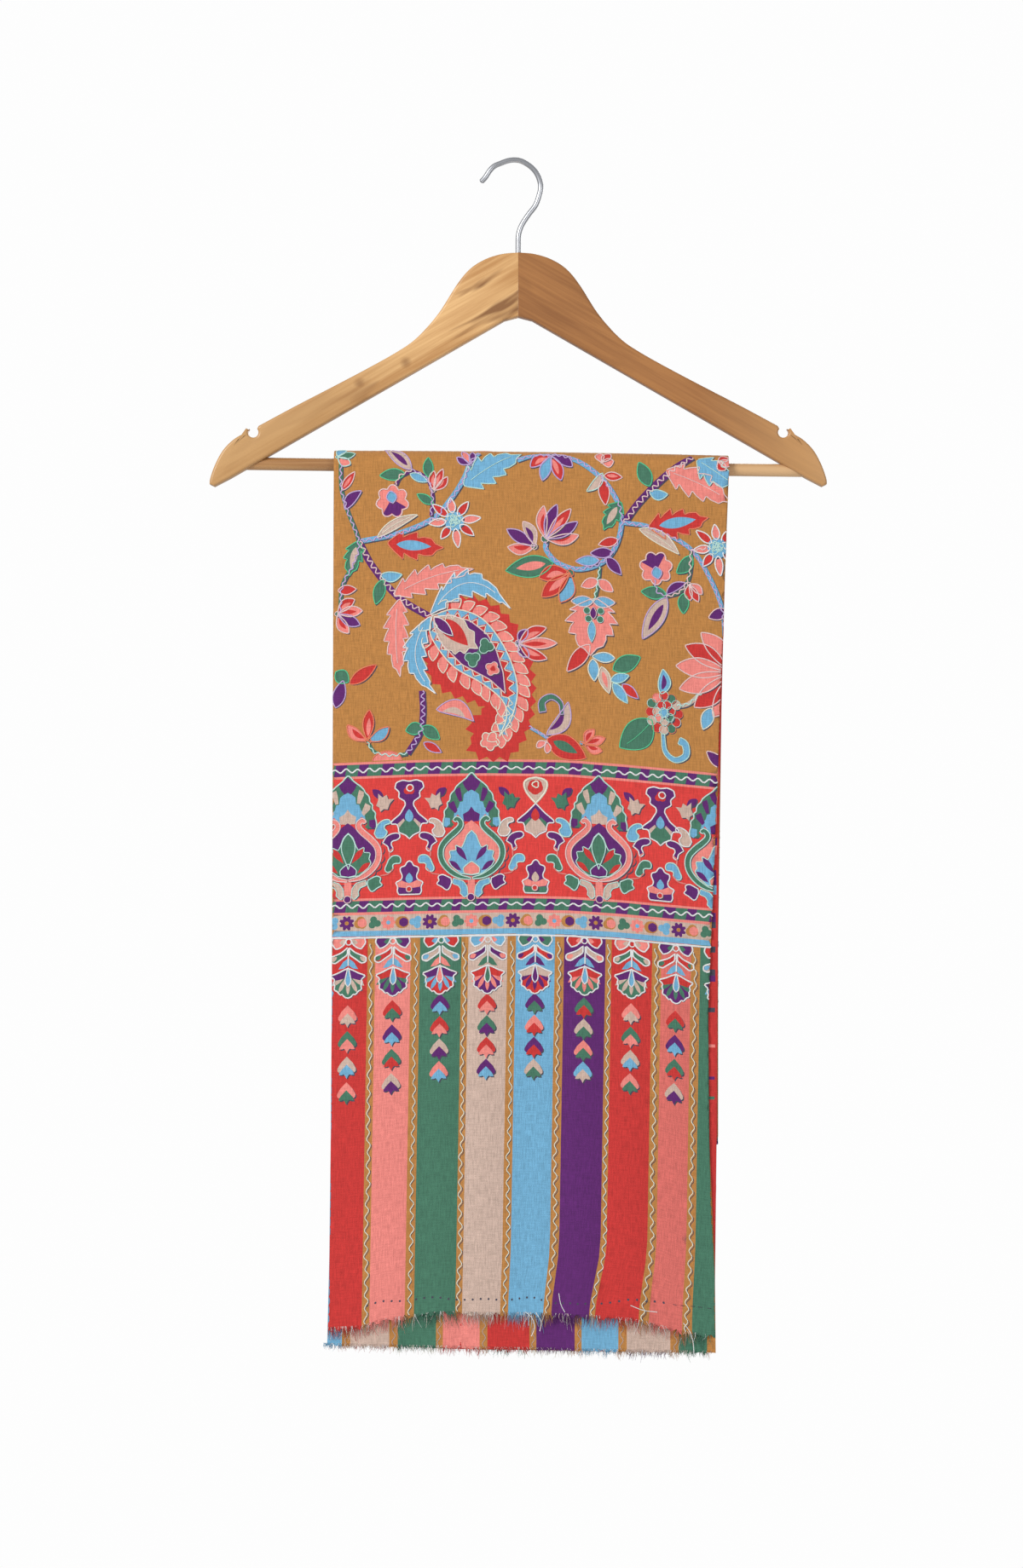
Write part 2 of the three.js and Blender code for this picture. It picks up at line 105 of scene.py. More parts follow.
# Cloth: offsets outwards from the bar's surface, through the stack of leaves
REAR_LEVEL = 0.8
INNER_LEVEL = 2.3
INNER_WALL = 1.4
SECOND_LEVEL = 3.8
FACE_LEVEL = 5.1
LOOP_LEVEL = (REAR_LEVEL + FACE_LEVEL) / 2
LOOP_DROP = 440.0
LOFT = 0.16
PINCH = 2.4
TUCK_X = 76.0
TUCK_SPREAD = 24.0
TUCK_DROP = 541.0
TUCK_RISE = 1.9
PINCH_LENGTH = 150.0
CENTRE_X = 11.5
HALF_WIDTH = 129.0
FOLD_INSET = 2.4
REAR_TUCK = 2.5
ROLL_RADIUS = 0.65
DEEPEST_FOLD = 540.0
# Side edges by the drop below the bar: drop, quarter fold, centre fold, selvedges
FRONT_EDGES = np.array((
    (0, -117, 140.8, 140.2), (121, -117.6, 136.2, 136.9), (230, -118, 132.3, 134.4),
    (352, -118.5, 127.4, 133.5), (440, -119.2, 128.2, 132.9), (519, -120.1, 131.7, 132),
    (580, -121.6, 132.3, 131.3),
))
BACK_EDGES = np.array((
    (0, -117, 140.8, 140.2), (129, -117.4, 137, 136.2), (311, -118, 134.4, 133.8),
    (443, -118.6, 134.4, 133.8),
))
# Hems, and two lines of the front design, by x: x, drop below the bar
FRONT_HEM = np.array((
    (-122, 565.5), (-97, 563.5), (-84, 559), (-68, 556.5), (-47, 553.5), (18, 553.5), (60, 554.5),
    (84, 556), (99, 559.5), (112, 564), (133, 567),
))
# Stitches above the front hem: u, height up the cloth
STITCH_ROW = np.array((
    (-93, 12.5), (-70, 11.5), (-47, 10), (-25, 9), (5, 10), (17, 10.5), (31, 8.5), (50, 7.5), (75, 11),
    (100, 16), (131, 18),
))
SECOND_HEM = np.array(((-122, 575.5), (133, 577.5)))
INNER_HEM = np.array(((-122, 574), (-40, 577), (133, 577.5)))
STRIPE_TOP = np.array((
    (-119, 308.8), (-60, 306.8), (0, 305), (35, 305.2), (70, 307), (100, 309.6), (133, 312),
))
BAND_TOP = np.array((
    (-119, 195.4), (-60, 192.4), (-20, 191.4), (32, 191.3), (70, 193.8), (133, 199),
))
# Soft folds: x of the line, spread, rise, drop where it starts, drop where it is full
FRONT_FOLDS = (
    (-118, 12, -1.2, 40, 420), (-84, 17, 0.9, 260, 500), (-62, 9, -0.7, 300, 380), (-33, 9, -1.1, 290, 350),
    (-16, 16, 1, 200, 520), (8, 12, -0.9, 20, 150), (30, 9, -0.9, 300, 420), (46, 15, 1.1, 180, 480),
    (61, 8, -0.8, 320, 400), (76, 16, 1.2, 330, 540), (90, 9, -0.8, 320, 430), (122, 15, -1.4, 60, 380),
    (-34, 5, -0.8, 285, 330), (-27, 6, 0.5, 285, 350), (-61, 5, -0.5, 300, 380), (29, 5, -0.6, 310, 380),
    (59, 5, -0.5, 330, 420), (91, 5, -0.6, 310, 400), (-8, 6, -0.45, 40, 90), (52, 6, -0.4, 30, 120),
)
BACK_FOLDS = (
    (-92, 24, 1, 60, 320), (-40, 15, -0.8, 40, 260), (5, 20, 1.1, 120, 420), (52, 16, -0.9, 60, 300),
    (100, 22, 0.9, 90, 380),
)

# Flat lengths up the cloth: the front hem is 0
LINE_S = 246.0
BAND_S = 362.0
BULB_S = 299.2
BAR_S = 553.7
TOP_RUN = 31.0
LOOP_RUN = 7.4
INSIDE_RUN = 15.6
BACK_S = BAR_S + TOP_RUN
LOOP_S = BACK_S + LOOP_DROP
REAR_S = LOOP_S + LOOP_RUN + LOOP_DROP + INSIDE_RUN
REAR_LENGTH = 571.5
END_S = REAR_S + REAR_LENGTH


class Dye(Enum):
    """Colours of the wool and of the threads, as they look in daylight."""

    GOLD = "#BC8347"
    RED = "#CB3A38"
    # The stripes' red dye painted lighter for the band and its medallion rims: painted light
    SCARLET = "#DC4440"
    PINK = "#F08A82"
    # Pink wool painted darker for the second pink stripe: painted shade of the fold that turns it away from
    # the light
    SALMON = "#DB7069"
    GREEN = "#4A7A64"
    BEIGE = "#CDB2A4"
    BLUE = "#74AFD2"
    PURPLE = "#622A70"
    # Slate: dark stitches and selvedge marks, and also the painted shadow edges under motifs and threads
    SLATE = "#4C4A58"
    WHITE = "#FFFFFF"
    ROSE = "#FFD6D4"
    LILAC = "#D2B6E6"
    MINT = "#CBF2E8"
    IVORY = "#F5FAE4"
    JADE = "#5CD29A"
    CREAM = "#FCF2DE"
    CORAL = "#FF8A66"


DYES = tuple(Dye)
(GOLD, RED, SCARLET, PINK, SALMON, GREEN, BEIGE, BLUE, PURPLE, SLATE, WHITE, ROSE, LILAC, MINT, IVORY,
 JADE, CREAM, CORAL) = DYES
# Offset of the dark slate edges to the lower right: partly printed outline, partly painted shadow
SHADE_OFFSET = (0.72, -0.72)
HEM_ALLOWANCE = -4.0
SIDE_ALLOWANCE = 165.0


def linear(hex_colour: str) -> tuple[float, float, float, float]:
    """Turns an sRGB hex colour into linear RGBA.

    Args:
        hex_colour: Colour such as "#B47C40".

    Returns:
        Linear red, green, blue and an alpha of 1.
    """
    channels = (int(hex_colour[i : i + 2], 16) / 255 for i in (1, 3, 5))
    flat = [c / 12.92 if c <= 0.04045 else ((c + 0.055) / 1.055) ** 2.4 for c in channels]
    return (*flat, 1)


# Curves


def smooth_path(points: Array | tuple, step: float) -> Array:
    """Samples a centripetal curve through points at about an even step.

    Args:
        points: Rows of coordinates.
        step: Distance between samples.

    Returns:
        Rows of coordinates along the curve, ends included.
    """
    knots = np.asarray(points, float)
    padded = np.vstack((2 * knots[0] - knots[1], knots, 2 * knots[-1] - knots[-2]))
    pieces = []
    for a, b, c, d in zip(padded, padded[1:], padded[2:], padded[3:]):
        count = max(2, round(float(np.linalg.norm(c - b)) / step))
        t = np.linspace(0, 1, count, endpoint=False)[:, None]
        pieces.append(
            0.5 * (2 * b + (c - a) * t + (2 * a - 5 * b + 4 * c - d) * t**2
                   + (3 * b - a - 3 * c + d) * t**3)
        )
    return np.vstack((*pieces, knots[-1:]))


def resample(path: Array, step: float, closed: bool) -> Array:
    """Places points evenly along a path.

    Args:
        path: Rows of coordinates.
        step: About how far apart they go.
        closed: Whether the path joins its start.

    Returns:
        Rows of coordinates, without the start again at the end.
    """
    track = np.vstack((path, path[:1])) if closed else path
    travelled = np.concatenate(([0], np.cumsum(np.linalg.norm(np.diff(track, axis=0), axis=1))))
    count = max(3, round(travelled[-1] / step))
    at = np.linspace(0, travelled[-1], count + 1)[: count if closed else count + 1]
    return np.column_stack([np.interp(at, travelled, axis) for axis in track.T])


def sideways(path: Array) -> Array:
    """Unit vectors to the left of a flat path."""
    tangent = np.gradient(path, axis=0)
    tangent /= np.linalg.norm(tangent, axis=1)[:, None] + 1e-9
    return np.column_stack((-tangent[:, 1], tangent[:, 0]))


def ease(value: Values, start: Values, full: Values) -> Values:
    """Smooth step from 0 at start to 1 at full."""
    t = np.clip((value - start) / (full - start), 0, 1)
    return t * t * (3 - 2 * t)


# Drape


def column(table: Array, at: Values, index: int) -> Values:
    """A column of a table, straight between its rows."""
    return np.interp(at, table[:, 0], table[:, index])


def bar_height(x: Values) -> Values:
    """Height of the bar's axis, a little lower on the right."""
    return BAR_Z - BAR_TILT * (x - HANGER_X)


def lofted(level: Values, x: Values) -> Values:
    """An offset in the stack, fuller towards the middle of the width."""
    across = np.clip((x - CENTRE_X) / HALF_WIDTH, -1, 1)
    return level * (1 + LOFT * (1 - across**2))


def relief(folds: tuple, x: Array, drop: Array) -> Array:
    """How far a panel stands off its flat hang: bell curves across it that fade in down it, and a ripple."""
    total = 0
    for line, spread, rise, start, full in folds:
        total = total + rise * ease(drop, start, full) * np.exp(-(((x - line) / spread) ** 2))
    ripple = 0.10 * np.sin(x * 0.31 + drop * 0.013) * np.sin(drop * 0.021 + x * 0.05)
    return total + ripple * ease(drop, 10, 120)


def pinch(drop: Array) -> Array:
    """How far each panel swings in under the bar."""
    return PINCH * ease(drop, 0, PINCH_LENGTH)


def front_point(x: Array, level: Array, drop: Array) -> Array:
    """Points of the front panel, its folds and the soft tuck over its hem.

    Args:
        x: Places across.
        level: Offsets in the stack.
        drop: Drops below the bar.

    Returns:
        Points in millimetres.
    """
    out = BAR_RADIUS + lofted(level, x) - pinch(drop)
    stand = relief(FRONT_FOLDS, x, np.minimum(drop, DEEPEST_FOLD))
    line = TUCK_DROP - 3 * ((x - TUCK_X) / TUCK_SPREAD) ** 2 * np.sign(TUCK_X - x)
    puff = ease(drop, line, line + 3.5) * (1 - 0.6 * ease(drop, line + 5, line + 18))
    face = ease(level, SECOND_LEVEL + 0.3, FACE_LEVEL - 0.4)
    stand = stand + face * TUCK_RISE * puff * np.exp(-(((x - TUCK_X) / TUCK_SPREAD) ** 4))
    return np.column_stack((x, -out - stand, bar_height(x) - drop))


def back_point(x: Array, level: Array, drop: Array) -> Array:
    """Points of the back panel."""
    out = BAR_RADIUS + lofted(level, x) - pinch(drop)
    return np.column_stack((x, out + relief(BACK_FOLDS, x, drop), bar_height(x) - drop))


def top_point(x: Array, level: Array, turn: Array) -> Array:
    """Points over the bar: turn is 0 in front and 1 behind."""
    radius = BAR_RADIUS + lofted(level, x)
    angle = np.pi * turn
    return np.column_stack((x, -radius * np.cos(angle), bar_height(x) + radius * np.sin(angle)))


def loop_point(x: Array, level: Array, turn: Array) -> Array:
    """Points round the loop under the back panel, half circles about the middle of the stack.

    Args:
        x: Places across.
        level: Offsets in the stack.
        turn: 0 outside and 1 inside.

    Returns:
        Points in millimetres.
    """
    centre = back_point(x, np.full_like(x, LOOP_LEVEL), np.full_like(x, LOOP_DROP))
    radius = lofted(level, x) - lofted(np.full_like(x, LOOP_LEVEL), x)
    centre[:, 1] += radius * np.cos(np.pi * turn)
    centre[:, 2] -= radius * np.sin(np.pi * turn)
    return centre


def drape(x: Values, level: Values, run: Values) -> Array:
    """Hangs flat cloth on the bar.

    Args:
        x: Places across the cloth.
        level: Offsets in the stack, on the outer half of the cloth.
        run: Distance along the cloth past the front of the bar: negative on the front panel.

    Returns:
        Points in space, in millimetres.
    """
    x, level, run = (np.asarray(v, float) for v in np.broadcast_arrays(x, level, run))
    inner = 2 * LOOP_LEVEL - level
    down = run - TOP_RUN
    under = down - LOOP_DROP
    inside = LOOP_DROP - (under - LOOP_RUN)
    over = -inside
    rear = over - INSIDE_RUN
    stretches = (
        (run < 0, lambda m: front_point(x[m], level[m], -run[m])),
        ((run >= 0) & (down < 0), lambda m: top_point(x[m], level[m], run[m] / TOP_RUN)),
        ((down >= 0) & (under < 0), lambda m: back_point(x[m], level[m], down[m])),
        ((under >= 0) & (under < LOOP_RUN), lambda m: loop_point(x[m], level[m], under[m] / LOOP_RUN)),
        ((under >= LOOP_RUN) & (inside > 0), lambda m: back_point(x[m], inner[m], inside[m])),
        ((over >= 0) & (rear < 0), lambda m: top_point(x[m], inner[m], 1 - over[m] / INSIDE_RUN)),
        (rear >= 0, lambda m: front_point(x[m], inner[m], rear[m])),
    )
    points = np.zeros((x.size, 3))
    for mask, place in stretches:
        if mask.any():
            points[mask] = place(mask)
    return points


@dataclass(frozen=True)
class Leaf:
    """One leaf of the folded cloth.

    Attributes:
        level: Offset of its surface in the stack.
        length: Flat distance from its hem to the front of the bar.
        hem: Its lower edge.
        reach: Flat distance from its hem to its far end.
        rolled: Whether its side edges roll round to the next leaf.
        design: Whether the borders of the front design lie on it.
    """

    level: float
    length: float
    hem: Array
    reach: float
    rolled: bool = True
    design: bool = False

    def drop(self, u: Array, s: Array) -> Array:
        """Drop below the bar of flat places on the front panel."""
        if not self.design:
            return column(self.hem, u, 1) * (1 - s / self.length)
        knots = (0, LINE_S, BAND_S, self.length)
        heights = (
            column(self.hem, u, 1), column(STRIPE_TOP, u, 1), column(BAND_TOP, u, 1),
            np.zeros_like(u),
        )
        result = np.zeros_like(u)
        for low, high, a, b in zip(knots, knots[1:], heights, heights[1:]):
            inside = (s >= low) & (s <= high)
            t = (s - low) / (high - low)
            result = np.where(inside, a + (b - a) * t, result)
        return np.where(s < 0, heights[0] - s, result)

    def lean(self, u: Array, s: Array) -> Array:
        """Sideways drift of the stripes as they hang."""
        drop = column(self.hem, u, 1) - s
        slant = -0.017 * (np.clip(drop, 300, 560) - 419)
        pull = 7 if self.design else 0
        tuck = -pull * ease(drop, 505, 556) * np.exp(-(((u - 62) / 46) ** 2))
        return np.where(s < self.length, slant + tuck, -0.017 * (300 - 419))

    def edges(self, s: Values) -> tuple[Array, Array]:
        """Left and right edges of the leaf at flat distances from the hem."""
        s = np.asarray(s, float)
        front = np.interp(s, (0, self.length), (column(self.hem, 0, 1), 0))
        behind = np.clip(s - self.length - TOP_RUN, 0, LOOP_DROP)
        back = s > self.length + TOP_RUN
        left = np.where(back, column(BACK_EDGES, behind, 1), column(FRONT_EDGES, front, 1))
        right = np.where(back, column(BACK_EDGES, behind, 2), column(FRONT_EDGES, front, 2))
        inside = s - (self.length + TOP_RUN + LOOP_DROP + LOOP_RUN)
        rear = inside - LOOP_DROP - INSIDE_RUN
        back_left = column(BACK_EDGES, LOOP_DROP - inside, 1)
        back_right = column(BACK_EDGES, LOOP_DROP - inside, 3) - REAR_TUCK
        left = np.where(inside > 0, back_left, left)
        right = np.where(inside > 0, back_right, right)
        left = np.where(rear > 0, column(FRONT_EDGES, rear, 1), left)
        right = np.where(rear > 0, column(FRONT_EDGES, rear, 3) - REAR_TUCK, right)
        return left, right

    def place(self, u: Values, s: Values, lift: float = 0.0) -> Array:
        """Puts flat places of the leaf in space.

        Args:
            u: Places across the cloth.
            s: Places up the cloth from its hem.
            lift: Height above the leaf's surface.

        Returns:
            Points in millimetres.
        """
        u, s = (np.asarray(v, float) for v in np.broadcast_arrays(u, s))
        flat = u + self.lean(u, s)
        left, right = self.edges(s)
        level = np.full_like(flat, self.level) + lift
        if self.rolled:
            low, high = left + ROLL_RADIUS, right - ROLL_RADIUS
            centre = self.level - ROLL_RADIUS
            past = np.maximum(low - flat, flat - high)
            side = np.where(flat > high, 1, -1)
            angle = np.clip(past / ROLL_RADIUS, 0, np.pi)
            rest = np.maximum(past - np.pi * ROLL_RADIUS, 0)
            turned = np.where(side > 0, high, low) + side * (
                (ROLL_RADIUS + lift) * np.sin(angle) - rest
            )
            level = np.where(past > 0, centre + (ROLL_RADIUS + lift) * np.cos(angle), level)
            flat = np.where(past > 0, turned, flat)
        run = np.where(s < self.length, -self.drop(u, np.minimum(s, self.length)), s - self.length)
        return drape(flat, level, run)


FACE_LEAF = Leaf(FACE_LEVEL, BAR_S, FRONT_HEM, END_S, design=True)
SECOND_LEAF = Leaf(SECOND_LEVEL, 576, SECOND_HEM, 576 + TOP_RUN + LOOP_DROP - 3, rolled=False)
THIRD_LEAF = Leaf(INNER_LEVEL + INNER_WALL / 2 + 0.1, 577, INNER_HEM, 577, rolled=False)


# Design drawn flat


@dataclass(frozen=True)
class Patch:
    """A flat area of one dye."""

    outline: Array
    dye: Dye


@dataclass(frozen=True)
class Stroke:
    """A couched thread along a flat path."""

    path: Array
    dye: Dye
    radius: float
    closed: bool


def petal(length: float, width: float, belly: float = 0.45, count: int = 12) -> Array:
    """Outline of a pointed petal along +x from the origin.

    Args:
        length: Distance from base to tip.
        width: Greatest width.
        belly: Where along the length it is widest, as a share.
        count: Steps on each side.

    Returns:
        Closed outline, anticlockwise.
    """
    t = np.linspace(0, 1, count + 1)
    half = 0.5 * width * np.sin(np.pi * t ** (math.log(0.5) / math.log(belly))) ** 0.85
    lower = np.column_stack((t * length, -half))
    upper = np.column_stack((t * length, half))[-2:0:-1]
    return np.vstack((lower, upper))


def toothed(length: float, width: float, teeth: int = 4, depth: float = 0.34) -> Array:
    """Outline of a leaf with forward-pointing teeth along +x.

    Args:
        length: Distance from base to tip.
        width: Greatest width.
        teeth: Teeth on each side.
        depth: Their depth as a share of the half width.

    Returns:
        Closed outline, anticlockwise.
    """
    pitch = 1 / (teeth + 0.9)
    t = [0.0]
    scale = [0.0]
    for i in range(teeth):
        start = (i + 0.14) * pitch
        t += [start, start + 0.4 * pitch, start + 0.98 * pitch]
        scale += [1 - depth, 1 - 0.3 * depth, 1 + 0.6 * depth]
    t = np.array([*t, 0.95 - 0.3 * pitch, 1.0])
    scale = np.array([*scale, 1 - depth, 0.0])
    half = 0.5 * width * np.sin(np.pi * t**0.78) ** 0.8 * scale
    lower = np.column_stack((t * length, -half))
    upper = np.column_stack((t * length - 0.03 * length * (scale > 0), half * 0.96))[-2:0:-1]
    return np.vstack((lower, upper))


def jagged(outline: tuple, pitch: float, depth: float) -> Array:
    """Outline with small teeth along it, pointing outwards of a clockwise path.

    Args:
        outline: Rows of coordinates.
        pitch: Distance between teeth.
        depth: Their height.

    Returns:
        Closed outline.
    """
    path = resample(np.asarray(outline, float), pitch / 2, True)
    teeth = depth * (np.arange(len(path)) % 2)
    return path + sideways(path) * teeth[:, None]


def scalloped(radius: float, lobes: int, depth: float, count: int = 5) -> Array:
    """A round flower: a circle whose radius dips between its lobes by the size of a sine."""
    angle = np.linspace(0, 2 * np.pi, lobes * count, endpoint=False)
    reach = radius * (1 - depth + depth * np.abs(np.sin(lobes * angle / 2)))
    return np.column_stack((reach * np.cos(angle), reach * np.sin(angle)))


def bowed(outline: Array, bow: float) -> Array:
    """Bends an outline that runs along +x sideways, as a parabola with its rise a share of the length."""
    length = outline[:, 0].max()
    t = outline[:, 0] / length
    return outline + np.column_stack((np.zeros_like(t), bow * length * 4 * t * (1 - t)))


def placed(outline: Array, u: float, s: float, turn: float = 0.0) -> Array:
    """A flat outline, turned by radians and moved."""
    c, k = math.cos(turn), math.sin(turn)
    return outline @ np.array(((c, k), (-k, c))) + (u, s)


def mirrored(half: tuple) -> Array:
    """A closed outline from its right half, listed from the bottom to the top."""
    right = np.array(half, float)
    left = right[::-1] * (-1, 1)
    return np.vstack((right, left[1:] if right[-1, 0] == 0 else left))


def ribbon(path: Array, width: Values) -> Array:
    """Outline of a band along a flat path."""
    half = sideways(path) * (np.broadcast_to(width, len(path)) / 2)[:, None]
    return np.vstack((path - half, (path + half)[::-1]))


def zigzag(path: Array, reach: float, period: float) -> Array:
    """A hand-sewn zigzag along a flat path: a sine of half width reach across it, a little uneven."""
    track = resample(path, period / 6, False)
    phase = np.arange(len(track)) / 6
    wave = np.sin(2 * np.pi * phase) + 0.22 * np.sin(phase * 2.7) + 0.14 * np.sin(phase * 6.1 + 1)
    return track + sideways(track) * (reach * wave)[:, None]


@dataclass
class Pattern:
    """Flat design: areas in painting order, and the threads sewn over them."""

    patches: list[Patch] = field(default_factory=list)
    strokes: list[Stroke] = field(default_factory=list)

    def fill(self, outline: Array, dye: Dye, shadow: bool = False) -> None:
        """Adds an area, with a dark slate edge on its lower right if asked: partly a printed outline, partly
        painted shadow of the thread round it.
        """
        if shadow:
            self.patches.append(Patch(outline + SHADE_OFFSET, SLATE))
        self.patches.append(Patch(outline, dye))

    def sew(self, path: Array, dye: Dye, radius: float = 0.48, closed: bool = False) -> None:
        """Adds a thread, a little off its place as hand sewing is."""
        slip = 0.35 * np.array((math.sin(path[0, 0] * 1.7), math.sin(path[0, 1] * 2.3)))
        self.strokes.append(Stroke(path + slip, dye, radius, closed))

    def outlined(self, outline: Array, dye: Dye, thread: Dye, radius: float = 0.48) -> None:
        """Adds an area with a dark slate edge, partly printed outline and partly painted shadow, and a
        thread round it.
        """
        self.fill(outline, dye, shadow=True)
        self.sew(outline, thread, radius, closed=True)

    def moved(self, u: float, s: float, flip: bool = False) -> "Pattern":
        """A copy of the design, moved, or mirrored left to right and then moved."""
        factor = np.array((-1 if flip else 1, 1))
        shift = np.array((u, s))
        return Pattern(
            [Patch(p.outline * factor + shift, p.dye) for p in self.patches],
            [Stroke(t.path * factor + shift, t.dye, t.radius, t.closed) for t in self.strokes],
        )

    def add(self, other: "Pattern") -> None:
        """Adds another design over this one."""
        self.patches += other.patches
        self.strokes += other.strokes


# Thread that usually outlines a dye
USUAL_THREAD = {GREEN: JADE, PINK: ROSE, BLUE: MINT, PURPLE: LILAC, RED: ROSE, BEIGE: CREAM}
# Heart, thread, bow and teeth of a plain leaf
PLAIN_LEAF = (None, None, 0, False)
# Leaves of the field: base, tip, width and dye, then what differs from a plain leaf
LEAVES = (
    (-73, 548, -89.5, 546.5, 7.5, GREEN), (-57.5, 546, -57.5, 559, 6.5, GREEN),
    (-68, 550, -86, 569, 9, BEIGE, PURPLE, LILAC), (-69.5, 547.5, -58, 542.5, 5, BLUE),
    (-54.5, 528.5, -65, 534.5, 5.5, GREEN), (-90.5, 506.5, -64, 521, 6, BEIGE, None, None, 0.06),
    (-84, 502.5, -47.5, 500, 16.5, RED, BLUE, CORAL, 0, True),
    (-33.5, 540.5, 3.5, 562.5, 18.5, BLUE, None, None, 0.05, True),
    (-79, 469.5, -27.5, 486.5, 15.5, PINK, None, None, 0.06, True),
    (-77, 466.5, -76, 416.5, 14.5, PINK, None, None, -0.04, True), (-87.5, 479, -92, 463, 7.5, GREEN),
    (-88.5, 482, -74.5, 482.5, 6.5, BLUE, None, None, -0.1),
    (-55.5, 456.5, -3.5, 460, 17, BLUE, None, WHITE, 0.36, True),
    (-56.5, 454.5, -52, 404.5, 14, BLUE, None, WHITE, -0.23, True), (24, 491, -7, 485.5, 14, GREEN, PINK),
    (56, 549.5, 45.5, 537.5, 5.5, BEIGE, None, MINT, 0.1), (56, 546, 58, 529, 7, RED),
    (57, 548.5, 69, 547.5, 5.5, RED, PINK), (67.5, 531, 56.5, 512.5, 11, GREEN, BEIGE, None, 0, True),
    (66.5, 507, 53.5, 503.5, 6, RED), (63, 498.5, 48, 497.5, 6.5, PURPLE),
    (54.5, 493, 39, 492, 6.5, BLUE, None, LILAC), (59, 495, 68.5, 484, 6.5, PURPLE),
    (53, 480.5, 42, 476, 6.5, PINK), (53, 480.5, 63, 473.5, 6.5, PINK), (48, 438, 33, 419.5, 9, RED),
    (64, 430, 49, 430.5, 6.5, BLUE, None, CREAM), (50, 429, 51, 414.5, 7, BLUE, None, CREAM),
    (55.5, 424, 60.5, 407, 7.5, BEIGE, PINK), (63, 423, 81, 432.5, 10.5, GREEN),
    (62, 415.5, 74, 419.5, 6, BLUE), (63, 414.5, 72.5, 402, 6.5, BLUE),
    (69.5, 413.5, 80, 405, 6, RED, None, LILAC), (87, 541.5, 80, 557, 9, GREEN),
    (87, 538, 99, 537, 6.5, BLUE, None, None, -0.1),
    (97.5, 551.5, 140, 532.5, 17.5, PINK, None, None, 0.04, True),
    (118, 559.5, 142.5, 543.5, 17, BLUE, None, None, 0, True),
    (87, 515.5, 125.5, 523, 17, RED, BLUE, CORAL, 0, True),
    (80.5, 514, 106.5, 498.5, 8, BEIGE, None, None, 0.08), (97.5, 473, 81, 474, 8, GREEN),
    (98, 473, 111, 480.5, 5, PURPLE, None, None, 0.1), (109, 474.5, 109, 461.5, 7, GREEN),
    (114.5, 498, 104.5, 486.5, 8, GREEN, None, None, 0.08),
    (98.5, 471, 82.5, 443.5, 11.5, BEIGE, PURPLE, LILAC), (137.5, 464.5, 125, 459.5, 7, PURPLE, None, ROSE),
    (95, 409.5, 96, 425.5, 8, BLUE, PURPLE, None, -0.1),
    (88.5, 392.5, 67.5, 373, 18.5, GREEN, None, None, 0.05),
    (-52, 394.5, -27.5, 386.5, 10.5, PINK, BEIGE, LILAC, 0.2),
    (19.5, 378, 33.5, 400, 9.5, BEIGE, PURPLE, LILAC, -0.16),
    (20, 376, 45.5, 364.5, 15.5, RED, GREEN, CORAL), (-61.5, 383.5, -72.5, 381, 8, GREEN),
    (-61, 384, -50, 375.5, 8, GREEN), (-60, 373.5, -48.5, 367, 5.5, RED, None, LILAC),
    (-114, 536.5, -105.5, 548.5, 5, RED, PINK),
    (-111.5, 524.5, -100.5, 536.5, 6.5, PURPLE, None, None, 0.1),
    (-103.5, 504, -109, 481.5, 11.5, GREEN, BEIGE, None, 0, True), (-116, 472.5, -104, 473.5, 6, RED),
    (-108.5, 412.5, -91, 424.5, 7.5, RED, None, CORAL), (-118, 420.5, -109.5, 414, 9, GREEN),
    (-118, 397.5, -113, 415, 8, PURPLE), (136, 366, 124.5, 375.5, 7, PURPLE, None, ROSE),
    (127, 402.5, 121.5, 388.5, 8, BLUE, None, CREAM),
)
# Flowers seen from the side: centre, tip of the middle petal, spread, petal width, dyes, thread
FANS = (
    (-54, 537.5, -48, 551.5, 44, 4.6, (RED, RED, RED), ROSE),
    (-30, 554.5, -35, 565, 70, 4.3, (PURPLE, PINK, PURPLE), LILAC),
    (22.5, 561, 23, 542, 120, 7.1, (RED, BLUE, RED, PURPLE), LILAC),
    (19, 506, 35.5, 526, 86, 7,
     (PINK, PURPLE, RED, PURPLE, PINK), ROSE),
    (12, 501.5, -6.5, 512.5, 66, 7.4, (BEIGE, PURPLE, PINK), ROSE),
    (35, 484, 16.5, 468, 62, 9.9, (RED, RED, BLUE), CORAL),
    (1.5, 437.5, 14.5, 438, 112, 6, (PURPLE, PURPLE), LILAC),
    (1.5, 437.5, 26.5, 438, 58, 7.1, (RED, PINK, RED), ROSE),
    (113, 480.5, 119, 469.5, 50, 5, (RED, RED, PINK), ROSE),
    (139.5, 426, 103.5, 420.5, 122, 12.4,
     (PINK, RED, PINK, PINK, RED, PINK), ROSE),
    (44.5, 373.5, 58, 378.5, 76, 6, (PINK, PINK, PINK), CORAL),
    (-97, 375.5, -95.5, 395.5, 110, 7.1, (BLUE, RED, PINK), CORAL),
    (-116.5, 457.5, -99.5, 454.5, 100, 6.7,
     (PINK, PURPLE, PINK, RED), ROSE),
    (-116.5, 558.5, -105, 561.5, 90, 6, (PINK, GREEN, BLUE), MINT),
    (55.5, 557, 61.5, 564.5, 90, 6, (PINK, RED, PINK), ROSE),
    (132, 559, 141, 557, 80, 6, (RED, PINK, RED), ROSE),
    (19.5, 374, 15, 366, 60, 4.3, (PINK, PINK), ROSE),
)
